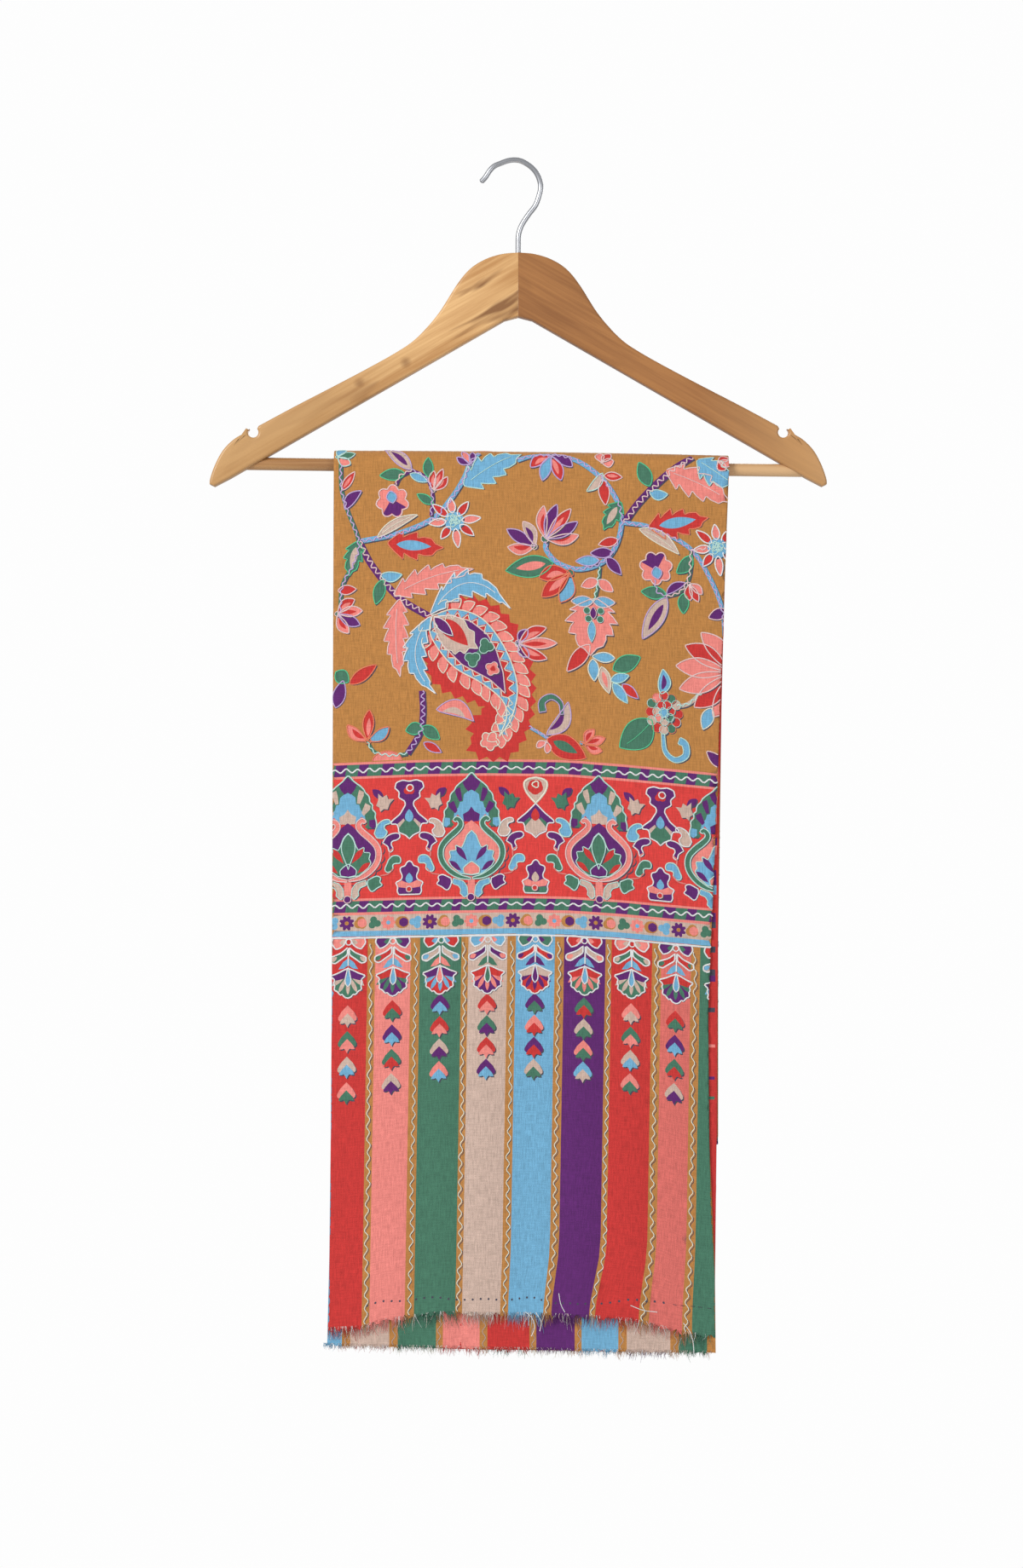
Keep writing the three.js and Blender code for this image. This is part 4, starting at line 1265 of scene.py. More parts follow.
# Dyes of the two kinds of medallion: horn, bulb, lotus, darts, heart, chips, low chip, bud, leg, curls
MEDALLIONS = (
    (GREEN, PINK, BLUE, PURPLE, PURPLE, PURPLE, BLUE, PINK, BLUE,
     (BEIGE, PURPLE, BLUE, PURPLE)),
    (PINK, PURPLE, GREEN, RED, BEIGE, BEIGE, PURPLE, PURPLE, BEIGE,
     (BLUE, PURPLE, GREEN, GREEN)),
)


def draw_medallion(pattern: Pattern, u: float, s: float, kind: int) -> None:
    """Draws one medallion of the band.

    Args:
        pattern: The design.
        u: Its middle across the cloth.
        s: Height of its bulb's middle.
        kind: Which of its two colourings it has.
    """
    at = np.array((u, s))
    horn_dye, ground, lotus, dart, heart, chip, low_chip, bud, leg_dye, curls = MEDALLIONS[kind]
    crown = mirrored(CROWN) + at
    pattern.fill(crown, GREEN, shadow=True)
    pattern.fill(mirrored(CROWN_FIELD) + at, BLUE)
    pattern.fill(mirrored(CROWN_HEART) + at, heart)
    pattern.fill(mirrored(CROWN_TOP) + at, PURPLE)
    for side in (1, -1):
        for shape, dye in zip(CROWN_CHIPS, (chip, chip, low_chip)):
            pattern.fill(np.array(shape) * (side, 1) + at, dye)
    pattern.sew(resample(crown, 1.2, False), MINT, 0.58)
    rim = scalloped(1, 20, 0.06, 4) * (24.2, 20.6) + (0, 1.4)
    # Rim and wing in the red painted lighter, as painted light
    pattern.fill(rim + at, SCARLET, shadow=True)
    pattern.fill(mirrored(CROWN_WING) + at,
                 SCARLET)
    pattern.fill(resample(mirrored(BULB) + at, 1.6, True), ground)
    pattern.outlined(mirrored(LOTUS) + at, lotus, MINT, 0.44)
    if kind:
        pattern.outlined(placed(petal(24, 9, 0.62), u, s - 9, math.pi / 2), GREEN, MINT, 0.44)
    for side in (1, -1):
        for x, y, length, width, lean in ((2.6, -4.6, 12.6, 3.9, 0.64), (6.3, -11, 10.8, 4.2, 0.91)):
            shape = placed(petal(length, width, 0.6), side * x, y, math.pi / 2 - side * lean)
            pattern.fill(shape + at, dart)
    pattern.outlined(mirrored(LOTUS_BUD) + at, bud, MINT, 0.44)
    for side in (1, -1):
        pattern.outlined(np.array(LEG) * (side, 1) + at, leg_dye, MINT, 0.42)
        for dye, shape in zip(curls, CURLS):
            curl = resample(smooth_path(np.array(shape) * (side, 1) + at, 1), 1.2, True)
            pattern.fill(curl, dye, shadow=True)
            pattern.sew(curl, WHITE if dye in (PURPLE, BEIGE) else MINT, 0.52, closed=True)
        for route in CURL_LINKS:
            pattern.sew(smooth_path(np.array(route) * (side, 1) + at, 1), PINK, 0.6)
        horn = smooth_path(np.array(HORN) * (side, 1) + at, 1.8)
        width = np.interp(np.arange(len(horn)), (0, 6, len(horn) * 0.7, len(horn) - 1), (1.2, 3.2, 3.8, 2.6))
        band = ribbon(horn, width)
        pattern.fill(band, horn_dye, shadow=True)
        pattern.sew(resample(band, 1.2, True), ROSE if kind else MINT, 0.5, closed=True)
    pattern.fill(mirrored(((0, -30.4), (2.2, -29.6), (2.6, -26), (2.2, -16.4))) + at, PINK)
    pattern.outlined(placed(scalloped(2.5, 8, 0.04, 2), u, s - 28.6), PURPLE, ROSE, 0.4)


# Right halves of the hanging flower and of the bud between two medallions
TRUMPET = (
    (0, 11), (2.5, 13.5), (7, 15.5), (7, 18), (8, 21), (12, 21), (12, 22.5), (6, 27.5), (2.5, 33.5),
    (3, 36), (7, 38.5), (6.5, 42), (9.5, 45), (8.5, 48.5), (4.5, 50), (0, 49),
)
TRUMPET_RING = (
    (0, 34), (2.5, 36.5), (6, 41), (7.5, 45), (7.5, 48), (5, 50), (0, 51),
)
TRUMPET_CUP = ((0, 11.5), (2.5, 14), (7, 16), (6.5, 18.5), (4.5, 21), (2, 24), (0, 24.5))
TRUMPET_SIDE = ((3, 18), (7, 18), (7.5, 21), (3.5, 24.5), (2.5, 22))
BUD = (
    (0, -26), (7, -26), (8, -23.5), (7.5, -21), (9, -18), (5, -16), (4.5, -13.5), (6, -10.5), (6, -8),
    (2.5, -7), (2, -5), (0, -3.5),
)
BUD_FOOT = ((0, -26), (7, -26), (7.5, -23.5), (7, -21.5), (0, -22))
BUD_CUP = ((0, -22), (7, -21), (8.5, -18), (5, -16.5), (2, -18), (0, -18.5))
TULIP = (
    (0, -6.5), (1.5, -4), (4, -3.5), (4, 0.5), (5.5, 4.5), (2, 3), (0, 5.5),
)


def draw_trumpet(pattern: Pattern, u: float, s: float, kind: int) -> None:
    """Draws the hanging flower between two medallions, and the bud under it.

    Args:
        pattern: The design.
        u: Its middle across the cloth.
        s: Height of the middle of the medallions' bulbs.
        kind: Which of its two colourings it has.
    """
    at = np.array((u, s))
    flower = mirrored(TRUMPET) + at
    if kind:
        pattern.fill(flower, PURPLE, shadow=True)
        pattern.fill(placed(scalloped(3.8, 3, 0.3, 5), u, s + 43.4, 0.5), RED)
        pattern.sew(placed(scalloped(2.2, 8, 0.02, 2), u + 0.8, s + 44.8), WHITE, 0.55, closed=True)
        pattern.sew(resample(flower, 1.2, True), WHITE, 0.58, closed=True)
    else:
        body = mirrored((*TRUMPET[:8], (0, 33.8))) + at
        ring = mirrored(TRUMPET_RING) + at
        pattern.fill(body, PURPLE, shadow=True)
        pattern.fill(ring, BEIGE, shadow=True)
        pattern.fill(placed(scalloped(5.2, 5, 0.1, 4), u, s + 44.6, 0.3), RED)
        pattern.sew(placed(scalloped(2.4, 3, 0.3, 5), u + 0.4, s + 46.2), CREAM, 0.6, closed=True)
        pattern.sew(resample(ring, 1.2, True), CREAM, 0.85, closed=True)
        pattern.sew(resample(body, 1.2, True), WHITE, 0.58, closed=True)
    side_dye, cup, eye = (BEIGE, GREEN, BLUE) if kind else (GREEN, BEIGE, RED)
    for side in (1, -1):
        pattern.fill(np.array(TRUMPET_SIDE) * (side, 1) + at, side_dye)
    pattern.fill(mirrored(TRUMPET_CUP) + at, cup)
    pattern.fill(placed(petal(8.6, 5.4, 0.4), u, s + 22, math.pi / 2), eye)
    bud = mirrored(BUD) + at
    pattern.fill(bud, PURPLE, shadow=True)
    pattern.fill(mirrored(BUD_CUP) + at, PINK)
    pattern.fill(mirrored(BUD_FOOT) + at, PURPLE if kind else GREEN)
    pattern.fill(placed(petal(7, 4.8, 0.4), u, s - 18.6, math.pi / 2), BLUE if kind else BEIGE)
    pattern.sew(resample(bud, 1.2, True), WHITE, 0.56, closed=True)
    pattern.outlined(placed(scalloped(1.9, 6, 0.1, 3), u, s - 22.8), RED, ROSE, 0.45)
    for side in (1, -1):
        leaf = placed(petal(9, 5, 0.5), side * 17.2, 38.4, math.pi / 2 - side * 0.85)
        tulip = placed(mirrored(TULIP), side * 16.6, 35.4, side * 0.35)
        pattern.fill(leaf + at, PURPLE, shadow=True)
        pattern.fill(tulip + at, BEIGE if kind else GREEN, shadow=True)


# Lines of the borders from the stripes up: upper edge, dye, and what draws a patterned line
BORDER_LINES = (
    (249.6, BLUE, None), (260.2, BEIGE, rosettes), (262, PINK, None), (269.6, GREEN, checked),
    # The band's ground up to 351 is the red painted lighter, as painted light
    (271.2, PINK, None), (351, SCARLET, None), (352.6, PINK, None), (360.4, GREEN, checked),
    (BAND_S, PINK, None),
)


def border_design() -> Pattern:
    """The borders and the medallion band between stripes and field."""
    pattern = Pattern()
    low = LINE_S
    for high, dye, draw in BORDER_LINES:
        if draw:
            draw(pattern, low, high)
        else:
            pattern.fill(strip(low, high), dye)
        low = high
    for i, u in enumerate((-110, -29.3, 54, 132)):
        draw_medallion(pattern, u, BULB_S, 1 - i % 2)
    for i, u in enumerate((-69.9, 12.4, 94)):
        draw_trumpet(pattern, u, BULB_S, 1 - i % 2)
    path = np.array(((-150, LINE_S - 0.6), (160, LINE_S - 0.6)))
    pattern.sew(resample(path, 4, False), WHITE, 0.8)
    return pattern


def hem_stitches(pattern: Pattern) -> None:
    """Draws the line of small dark stitches above the hem."""
    for i in range(44):
        u = -93 + 5.3 * i
        s = float(column(STITCH_ROW, u, 1))
        if u > 104:
            dash = np.array(((u, s), (u + 2.4, s)))
            pattern.sew(resample(dash, 1.2, False), SLATE, 0.22)
        else:
            pattern.fill(placed(scalloped(0.75, 6, 0.05, 2), u, s + 0.6 * math.sin(i)), SLATE)


LOOSE_THREADS = (
    ((115, 6), (119, 1), (121, -6), (121.5, -14)), ((36, 14), (38.5, 7), (42, 2)),
    ((12, 2), (17, -2), (19, -8), (16.5, -14)), ((20, 1), (24, -5), (23, -11)),
    ((84, 9.5), (92, 8), (100, 8.6)),
)


def face_design() -> Pattern:
    """The whole design of the wrapping leaf, from the front hem to the rear one."""
    pattern = stripe_design(FACE_STRIPES)
    hem_stitches(pattern)
    for route in LOOSE_THREADS:
        pattern.sew(smooth_path(route, 1), WHITE, 0.3)
    pattern.add(border_design())
    flowers = field_design()
    pattern.add(flowers)
    pattern.add(flowers.moved(14, 208, flip=True))
    pattern.add(flowers.moved(4, 416))
    pattern.add(flowers.moved(18, 624, flip=True))
    far = stripe_design(FACE_STRIPES)
    turned = Pattern(
        [Patch(((p.outline * (1, -1)) + (0, END_S))[::-1], p.dye) for p in far.patches],
        [Stroke(t.path * (1, -1) + (0, END_S), t.dye, t.radius, t.closed) for t in far.strokes],
    )
    pattern.add(turned)
    return pattern


# Cloth meshes


def outline_of(leaf: Leaf, low: float, high: float, step: float = 6.0, ragged: float = 0.0) -> Array:
    """Flat outline of a leaf between two distances from its hem, rolled edges included.

    Args:
        leaf: The leaf.
        low: Lower end.
        high: Upper end.
        step: Distance between points on its sides.
        ragged: Unevenness of its cut ends.

    Returns:
        Closed outline.
    """
    s = np.linspace(low, high, max(2, int((high - low) / step)))
    left, right = leaf.edges(s)
    wrap = (math.pi - 1) * ROLL_RADIUS + 0.6 if leaf.rolled else 0
    fade = 1 - ease(s, LOOP_S - 40, LOOP_S - 4) if leaf.rolled else 0
    left = left - wrap
    right = right + wrap * fade
    left = left - leaf.lean(left, s)
    right = right - leaf.lean(right, s)
    bottom = np.linspace(left[0], right[0], 170)[1:-1]
    frayed = low + ragged * (np.sin(bottom * 2.9) + np.sin(bottom * 7.3 + 1) + np.sin(bottom * 0.53)) / 2
    top = np.linspace(right[-1], left[-1], 40)[1:-1]
    frayed_top = high - ragged * (np.sin(top * 2.9) + np.sin(top * 0.53)) / 2
    return np.vstack((
        np.column_stack((bottom, frayed)),
        np.column_stack((right, s)),
        np.column_stack((top, frayed_top)),
        np.column_stack((left, s))[::-1],
    ))


def anticlockwise(outline: Array) -> Array:
    """The outline, turned to run anticlockwise."""
    x, y = outline.T
    area = np.sum(x * np.roll(y, -1) - np.roll(x, -1) * y)
    return outline if area > 0 else outline[::-1]


def cut_cloth(edge: Array, patches: list[Patch], grid: Array) -> tuple[Array, Array, Array]:
    """Cuts a flat piece of cloth into triangles along the edges of its design.

    Args:
        edge: Outline of the piece.
        patches: Areas of the design, in painting order.
        grid: More points to put into the mesh.

    Returns:
        Flat points, triangles and each triangle's dye as an index into DYES.
    """
    outlines = [anticlockwise(edge)] + [anticlockwise(p.outline) for p in patches]
    starts = np.concatenate(([0], np.cumsum([len(o) for o in outlines])))
    faces = [list(range(a, b)) for a, b in zip(starts, starts[1:])]
    points = np.vstack((*outlines, grid))
    flat, _, triangles, _, _, covers = delaunay_2d_cdt(points.tolist(), [], faces, 0, 1e-4, True)
    kept = [(t, max(c)) for t, c in zip(triangles, covers) if c and min(c) == 0]
    dyes = np.array([0 if top == 0 else DYES.index(patches[top - 1].dye) for _, top in kept])
    return np.array([tuple(p) for p in flat]), np.array([t for t, _ in kept]), dyes


def cloth_grid(leaf: Leaf, bands: tuple) -> Array:
    """Staggered rows of points for a cloth mesh, closer round its rolled edges.

    Args:
        leaf: The leaf.
        bands: Rows of low, high, step up and step across.

    Returns:
        Flat points.
    """
    rows = []
    for low, high, up, across in bands:
        for k, s in enumerate(np.arange(low, high, up)):
            left, right = (float(v) for v in leaf.edges(s))
            lean = float(leaf.lean(np.array(0), np.array(s)))
            u = np.arange(left + 3, right - 2, across) + (across / 2 if k % 2 else 0)
            if leaf.rolled:
                roll = np.array((0.55, 1.1, 1.7, 2.3, 2.9, 3.3)) * ROLL_RADIUS
                sides = [left + ROLL_RADIUS - roll]
                if s < LOOP_S - 40:
                    sides.append(right - ROLL_RADIUS + roll)
                u = np.concatenate((u, (left + ROLL_RADIUS, right - ROLL_RADIUS), *sides))
            rows.append(np.column_stack((u - lean, np.full_like(u, s))))
    return np.vstack(rows)


def link(name: str, mesh: bpy.types.Mesh) -> bpy.types.Object:
    """Puts a mesh into the scene as an object on the part's one body."""
    piece = bpy.data.objects.new(name, mesh)
    bpy.context.scene.collection.objects.link(piece)
    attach(piece, ROOT)
    log.info("%s: %d faces", name, len(mesh.polygons))
    return piece


def face_mesh(name: str, points: Array, faces: Array, materials: list[Material], index: Array,
              uv: Array) -> Piece:
    """Makes a smooth mesh from arrays.

    Args:
        name: Name of the mesh and object.
        points: Vertices in millimetres.
        faces: Vertex numbers of each face, all with the same count of corners.
        materials: Materials of the mesh.
        index: Material of each face.
        uv: Flat place of each vertex in millimetres.

    Returns:
        The new object.
    """
    mesh = bpy.data.meshes.new(name)
    count, size = faces.shape
    mesh.vertices.add(len(points))
    mesh.vertices.foreach_set("co", (points * MM).astype(np.float32).ravel())
    mesh.loops.add(count * size)
    mesh.loops.foreach_set("vertex_index", faces.astype(np.int32).ravel())
    mesh.polygons.add(count)
    mesh.polygons.foreach_set("loop_start", np.arange(0, count * size, size, dtype=np.int32))
    for material in materials:
        mesh.materials.append(material)
    mesh.polygons.foreach_set("material_index", np.asarray(index, np.int32))
    mesh.polygons.foreach_set("use_smooth", np.ones(count, bool))
    layer = mesh.uv_layers.new(name="flat")
    layer.data.foreach_set("uv", (uv[faces.ravel()] * MM).astype(np.float32).ravel())
    mesh.update(calc_edges=True)
    mesh.validate()
    return link(name, mesh)


def stripe_dye(stripes: tuple, u: float) -> Dye:
    """Dye of the stripe at a place across the cloth."""
    return next(dye for right, dye in stripes if u < right)


# Finishes


class Shader:
    """A material's node tree, with short ways to add to it."""

    def __init__(self, name: str) -> None:
        """Starts a material with its Principled surface."""
        self.material = bpy.data.materials.new(name)
        self.material.use_nodes = True
        self.tree = self.material.node_tree
        self.surface = self.tree.nodes["Principled BSDF"]

    def node(self, kind: str, inputs: dict | None = None, **settings: object) -> bpy.types.ShaderNode:
        """Adds a node.

        Args:
            kind: Node type without its ShaderNode prefix.
            inputs: Socket names or numbers to values or output sockets.
            settings: Properties of the node.

        Returns:
            The new node.
        """
        made = self.tree.nodes.new(f"ShaderNode{kind}")
        for key, value in settings.items():
            setattr(made, key, value)
        for key, value in (inputs or {}).items():
            if isinstance(value, Socket):
                self.tree.links.new(value, made.inputs[key])
            else:
                made.inputs[key].default_value = value
        return made

    def math(self, operation: str, a: Socket | float, b: Socket | float = 0.0) -> Socket:
        """Adds a math node and returns its output."""
        return self.node("Math", {0: a, 1: b}, operation=operation).outputs[0]

    def shade(self, factor: Socket, low: str | Socket, high: str) -> Socket:
        """Mixes a hex colour or a colour's output with a hex colour and returns the colour."""
        start = linear(low) if isinstance(low, str) else low
        return self.node("Mix", {0: factor, 6: start, 7: linear(high)}, data_type="RGBA").outputs[2]

    def mapped(self, value: Socket, start: float, end: float, low: float = 0.0, high: float = 1.0) -> Socket:
        """Maps start to end onto low to high, clamped, and returns the result."""
        spans = {"Value": value, "From Min": start, "From Max": end, "To Min": low, "To Max": high}
        return self.node("MapRange", spans).outputs[0]

    def weighed(self, a: Socket, share: float, b: Socket, rest: float) -> Socket:
        """Adds two values, each times its share."""
        return self.math("ADD", self.math("MULTIPLY", a, share), self.math("MULTIPLY", b, rest))

    def vector(self, operation: str, inputs: dict, output: str | int = 0) -> Socket:
        """Adds a vector math node and returns one of its outputs."""
        return self.node("VectorMath", inputs, operation=operation).outputs[output]

    def stretched(self, source: Socket, scale: tuple[float, float, float]) -> Socket:
        """Scales coordinates differently along each axis."""
        return self.node("Mapping", {"Vector": source, "Scale": scale}).outputs[0]

    def noise(self, vector: Socket, scale: float, detail: float = 3.0, roughness: float = 0.55) -> Socket:
        """Adds a noise texture and returns its factor."""
        return self.node(
            "TexNoise", {"Vector": vector, "Scale": scale, "Detail": detail, "Roughness": roughness}
        ).outputs["Fac"]

    def set(self, **values: object) -> None:
        """Sets sockets of the surface, with underscores for spaces."""
        for key, value in values.items():
            socket = self.surface.inputs[key.replace("_", " ")]
            if isinstance(value, Socket):
                self.tree.links.new(value, socket)
            else:
                socket.default_value = value

    def bump(self, height: Socket, strength: float, distance: float) -> Socket:
        """Adds a bump and returns its normal."""
        return self.node("Bump", {"Height": height, "Strength": strength, "Distance": distance}).outputs[0]


def tint(colour: str, factor: float) -> str:
    """A hex colour made lighter or darker."""
    channels = (int(colour[i : i + 2], 16) for i in (1, 3, 5))
    return "#" + "".join(f"{min(255, max(0, round(c * factor))):02X}" for c in channels)


@dataclass(frozen=True)
class Wool:
    """Fine pashmina wool, hand spun, woven as a twill and pieced from dyed cloth."""

    dye: Dye
    coarse: float = 420.0

    def material(self) -> Material:
        """Makes the material.

        Slubs: noise of 0.7 by 8 mm, drawn out along the warp and along the weft, which gives the cloth
        its dry, uneven tone. Twill: slanting bands about 1 mm apart, drawn coarser than the real 0.5 mm
        so that they show. Bloom: patches of 40 to 55 mm, where the nap is rubbed a little darker.
        """
        shader = Shader(f"wool_{self.dye.name.lower()}")
        flat = shader.node("UVMap", uv_map="flat").outputs[0]
        warp = shader.noise(shader.stretched(flat, (1500, 130, 1)), 1.0, 2.0)
        weft = shader.noise(shader.stretched(flat, (130, 1400, 1)), 1.0, 2.0)
        cloud = shader.noise(shader.stretched(flat, (26, 18, 1)), 1.0, 3.0)
        grain = shader.weighed(warp, 0.62, weft, 0.38)
        colour = self.dye.value
        base = shader.shade(shader.mapped(grain, 0.36, 0.64), tint(colour, 0.88), tint(colour, 1.08))
        worn = shader.shade(shader.mapped(cloud, 0.3, 0.7, 0.0, 0.3), base, tint(colour, 0.94))
        inputs = {"Vector": flat, "Scale": self.coarse, "Distortion": 0.6, "Detail": 1.0}
        twill = shader.node("TexWave", inputs, wave_type="BANDS", bands_direction="DIAGONAL").outputs["Fac"]
        height = shader.weighed(grain, 0.8, twill, 0.25)
        shader.set(
            Base_Color=worn, Roughness=0.88, Sheen_Weight=0.12, Sheen_Roughness=0.45,
            Specular_IOR_Level=0.2, Normal=shader.bump(height, 0.55, 0.0005),
        )
        return shader.material


@dataclass(frozen=True)
class Yarn:
    """Embroidery thread, two plies twisted and couched by hand."""

    dye: Dye

    def material(self) -> Material:
        """Makes the material: the slanting bands of the plies give each thread a beaded, silky light."""
        shader = Shader(f"thread_{self.dye.name.lower()}")
        flat = shader.node("UVMap", uv_map="flat").outputs[0]
        inputs = {"Vector": shader.stretched(flat, (1, 160, 1)), "Scale": 190.0, "Distortion": 1.2}
        twist = shader.node("TexWave", inputs, wave_type="BANDS", bands_direction="DIAGONAL").outputs["Fac"]
        shader.set(
            Base_Color=shader.shade(twist, tint(self.dye.value, 0.93), tint(self.dye.value, 1.05)),
            Roughness=0.6, Sheen_Weight=0.15, Specular_IOR_Level=0.35,
            Normal=shader.bump(twist, 0.5, 0.0003),
        )
        return shader.material


@dataclass(frozen=True)
class Timber:
    """Sawn, sanded and lacquered hardwood.

    light and dark are the two tones of its grain, far the tone that it fades to between the x places
    of fade (on the right arm and the bar a lighter end that is painted light, on the left arm a darker
    outer end), turn the slope of the piece in radians, figure the strength of its dark figure, and knots
    the places of its small knots in metres.
    """

    name: str
    light: str
    dark: str
    turn: float
    figure: float
    far: str
    fade: tuple[float, float]
    knots: tuple = ()
    stain: str = "#7A4A24"

    def material(self) -> Material:
        """Makes the material.

        Grain: broad bands of 16 by 110 mm and streaks 2 to 3 mm wide along the piece, which lead the eye
        along it. Figure: warped dark clouds near the mitre. Pores: fine lines under 1 mm wide that break
        the gloss of the lacquer.
        """
        shader = Shader(self.name)
        place = shader.node("TexCoord").outputs["Object"]
        turned = shader.node("Mapping", {"Vector": place, "Rotation": (0, self.turn, 0)}).outputs[0]
        broad = shader.noise(shader.stretched(turned, (9, 40, 62)), 1.0, 2.0)
        streaks = shader.noise(shader.stretched(turned, (16, 320, 420)), 1.0, 3.0)
        pores = shader.noise(shader.stretched(turned, (90, 1500, 1500)), 1.0, 2.0)
        grain = shader.mapped(shader.weighed(broad, 0.55, streaks, 0.45), 0.4, 0.6)
        along = shader.node("SeparateXYZ", {"Vector": place}).outputs[0]
        # Fade to the far tone along x: on the right arm and the bar this is painted light
        fade = shader.mapped(along, *self.fade, 0.0, 0.7)
        ground = shader.shade(fade, shader.shade(grain, self.light, self.dark), self.far)
        bent = {"Vector": shader.stretched(turned, (14, 40, 40)), "Scale": 1.0}
        bend = shader.node("TexNoise", bent).outputs["Color"]
        warped = shader.vector("ADD", {0: shader.stretched(turned, (11, 60, 78)), 1: bend})
        figure = shader.mapped(shader.noise(warped, 1.0, 2.0, 0.7), 0.54, 0.64)
        near = shader.mapped(shader.math("ABSOLUTE", along), 0.03, 0.13, 1.0, 0.12)
        dark = shader.math("MULTIPLY", shader.math("MULTIPLY", figure, near), 0.85 * self.figure)
        wander = shader.vector("SCALE", {0: bend, "Scale": 0.006})
        moved = shader.vector("ADD", {0: place, 1: wander})
        for knot in self.knots:
            distance = shader.vector("DISTANCE", {0: moved, 1: knot}, "Value")
            dark = shader.math("MAXIMUM", dark, shader.mapped(distance, 0.0012, 0.0052, 0.8, 0.0))
        shader.set(
            Base_Color=shader.shade(dark, ground, self.stain), Roughness=0.42, Specular_IOR_Level=0.4,
            Coat_Weight=0.2, Coat_Roughness=0.25, Normal=shader.bump(pores, 0.1, 0.0003),
        )
        return shader.material


LEFT_TIMBER = Timber("wood_figured", "#E6B87E", "#C18D56", 0.52, 1.0, "#B98C58", (-0.05, -0.13),
                     ((-0.098, -0.006, -0.142), (-0.067, -0.006, -0.128)))
# Right arm: its outer end painted lighter, as painted light
RIGHT_TIMBER = Timber("wood_plain", "#AE7642", "#935F33", -0.52, 0.35, "#D8A970", (0.12, 0.22))
# Bar: lighter towards its right end, as painted light and a painted highlight
BAR_TIMBER = Timber("wood_bar", "#B98A58", "#94643A", 0.0, 0.3, "#E6BE8E", (-0.14, 0.19))


@dataclass(frozen=True)
class Chrome:
    """Steel wire, drawn, bent and plated bright."""

    low: str = "#B4B6BB"
    high: str = "#C2C4C9"

    def material(self) -> Material:
        """Makes the material: smudges about 11 mm wide keep the plating from looking like a mirror."""
        shader = Shader("chrome_wire")
        smudge = shader.noise(shader.node("TexCoord").outputs["Object"], 90.0, 2.0)
        shader.set(Base_Color=shader.shade(smudge, self.low, self.high), Metallic=1.0, Roughness=0.34)
        return shader.material


@dataclass(frozen=True)
class Plaster:
    """Smooth matt plaster, for the floor of the stage."""

    low: str = "#EFEEEC"
    high: str = "#F6F5F4"

    def material(self) -> Material:
        """Makes the material: clouds about 330 mm wide, so faint that the floor reads as plain."""
        shader = Shader("pale_floor")
        cloud = shader.noise(shader.node("TexCoord").outputs["Object"], 3.0)
        shader.set(Base_Color=shader.shade(cloud, self.low, self.high), Roughness=0.9)
        return shader.material


# Hanger


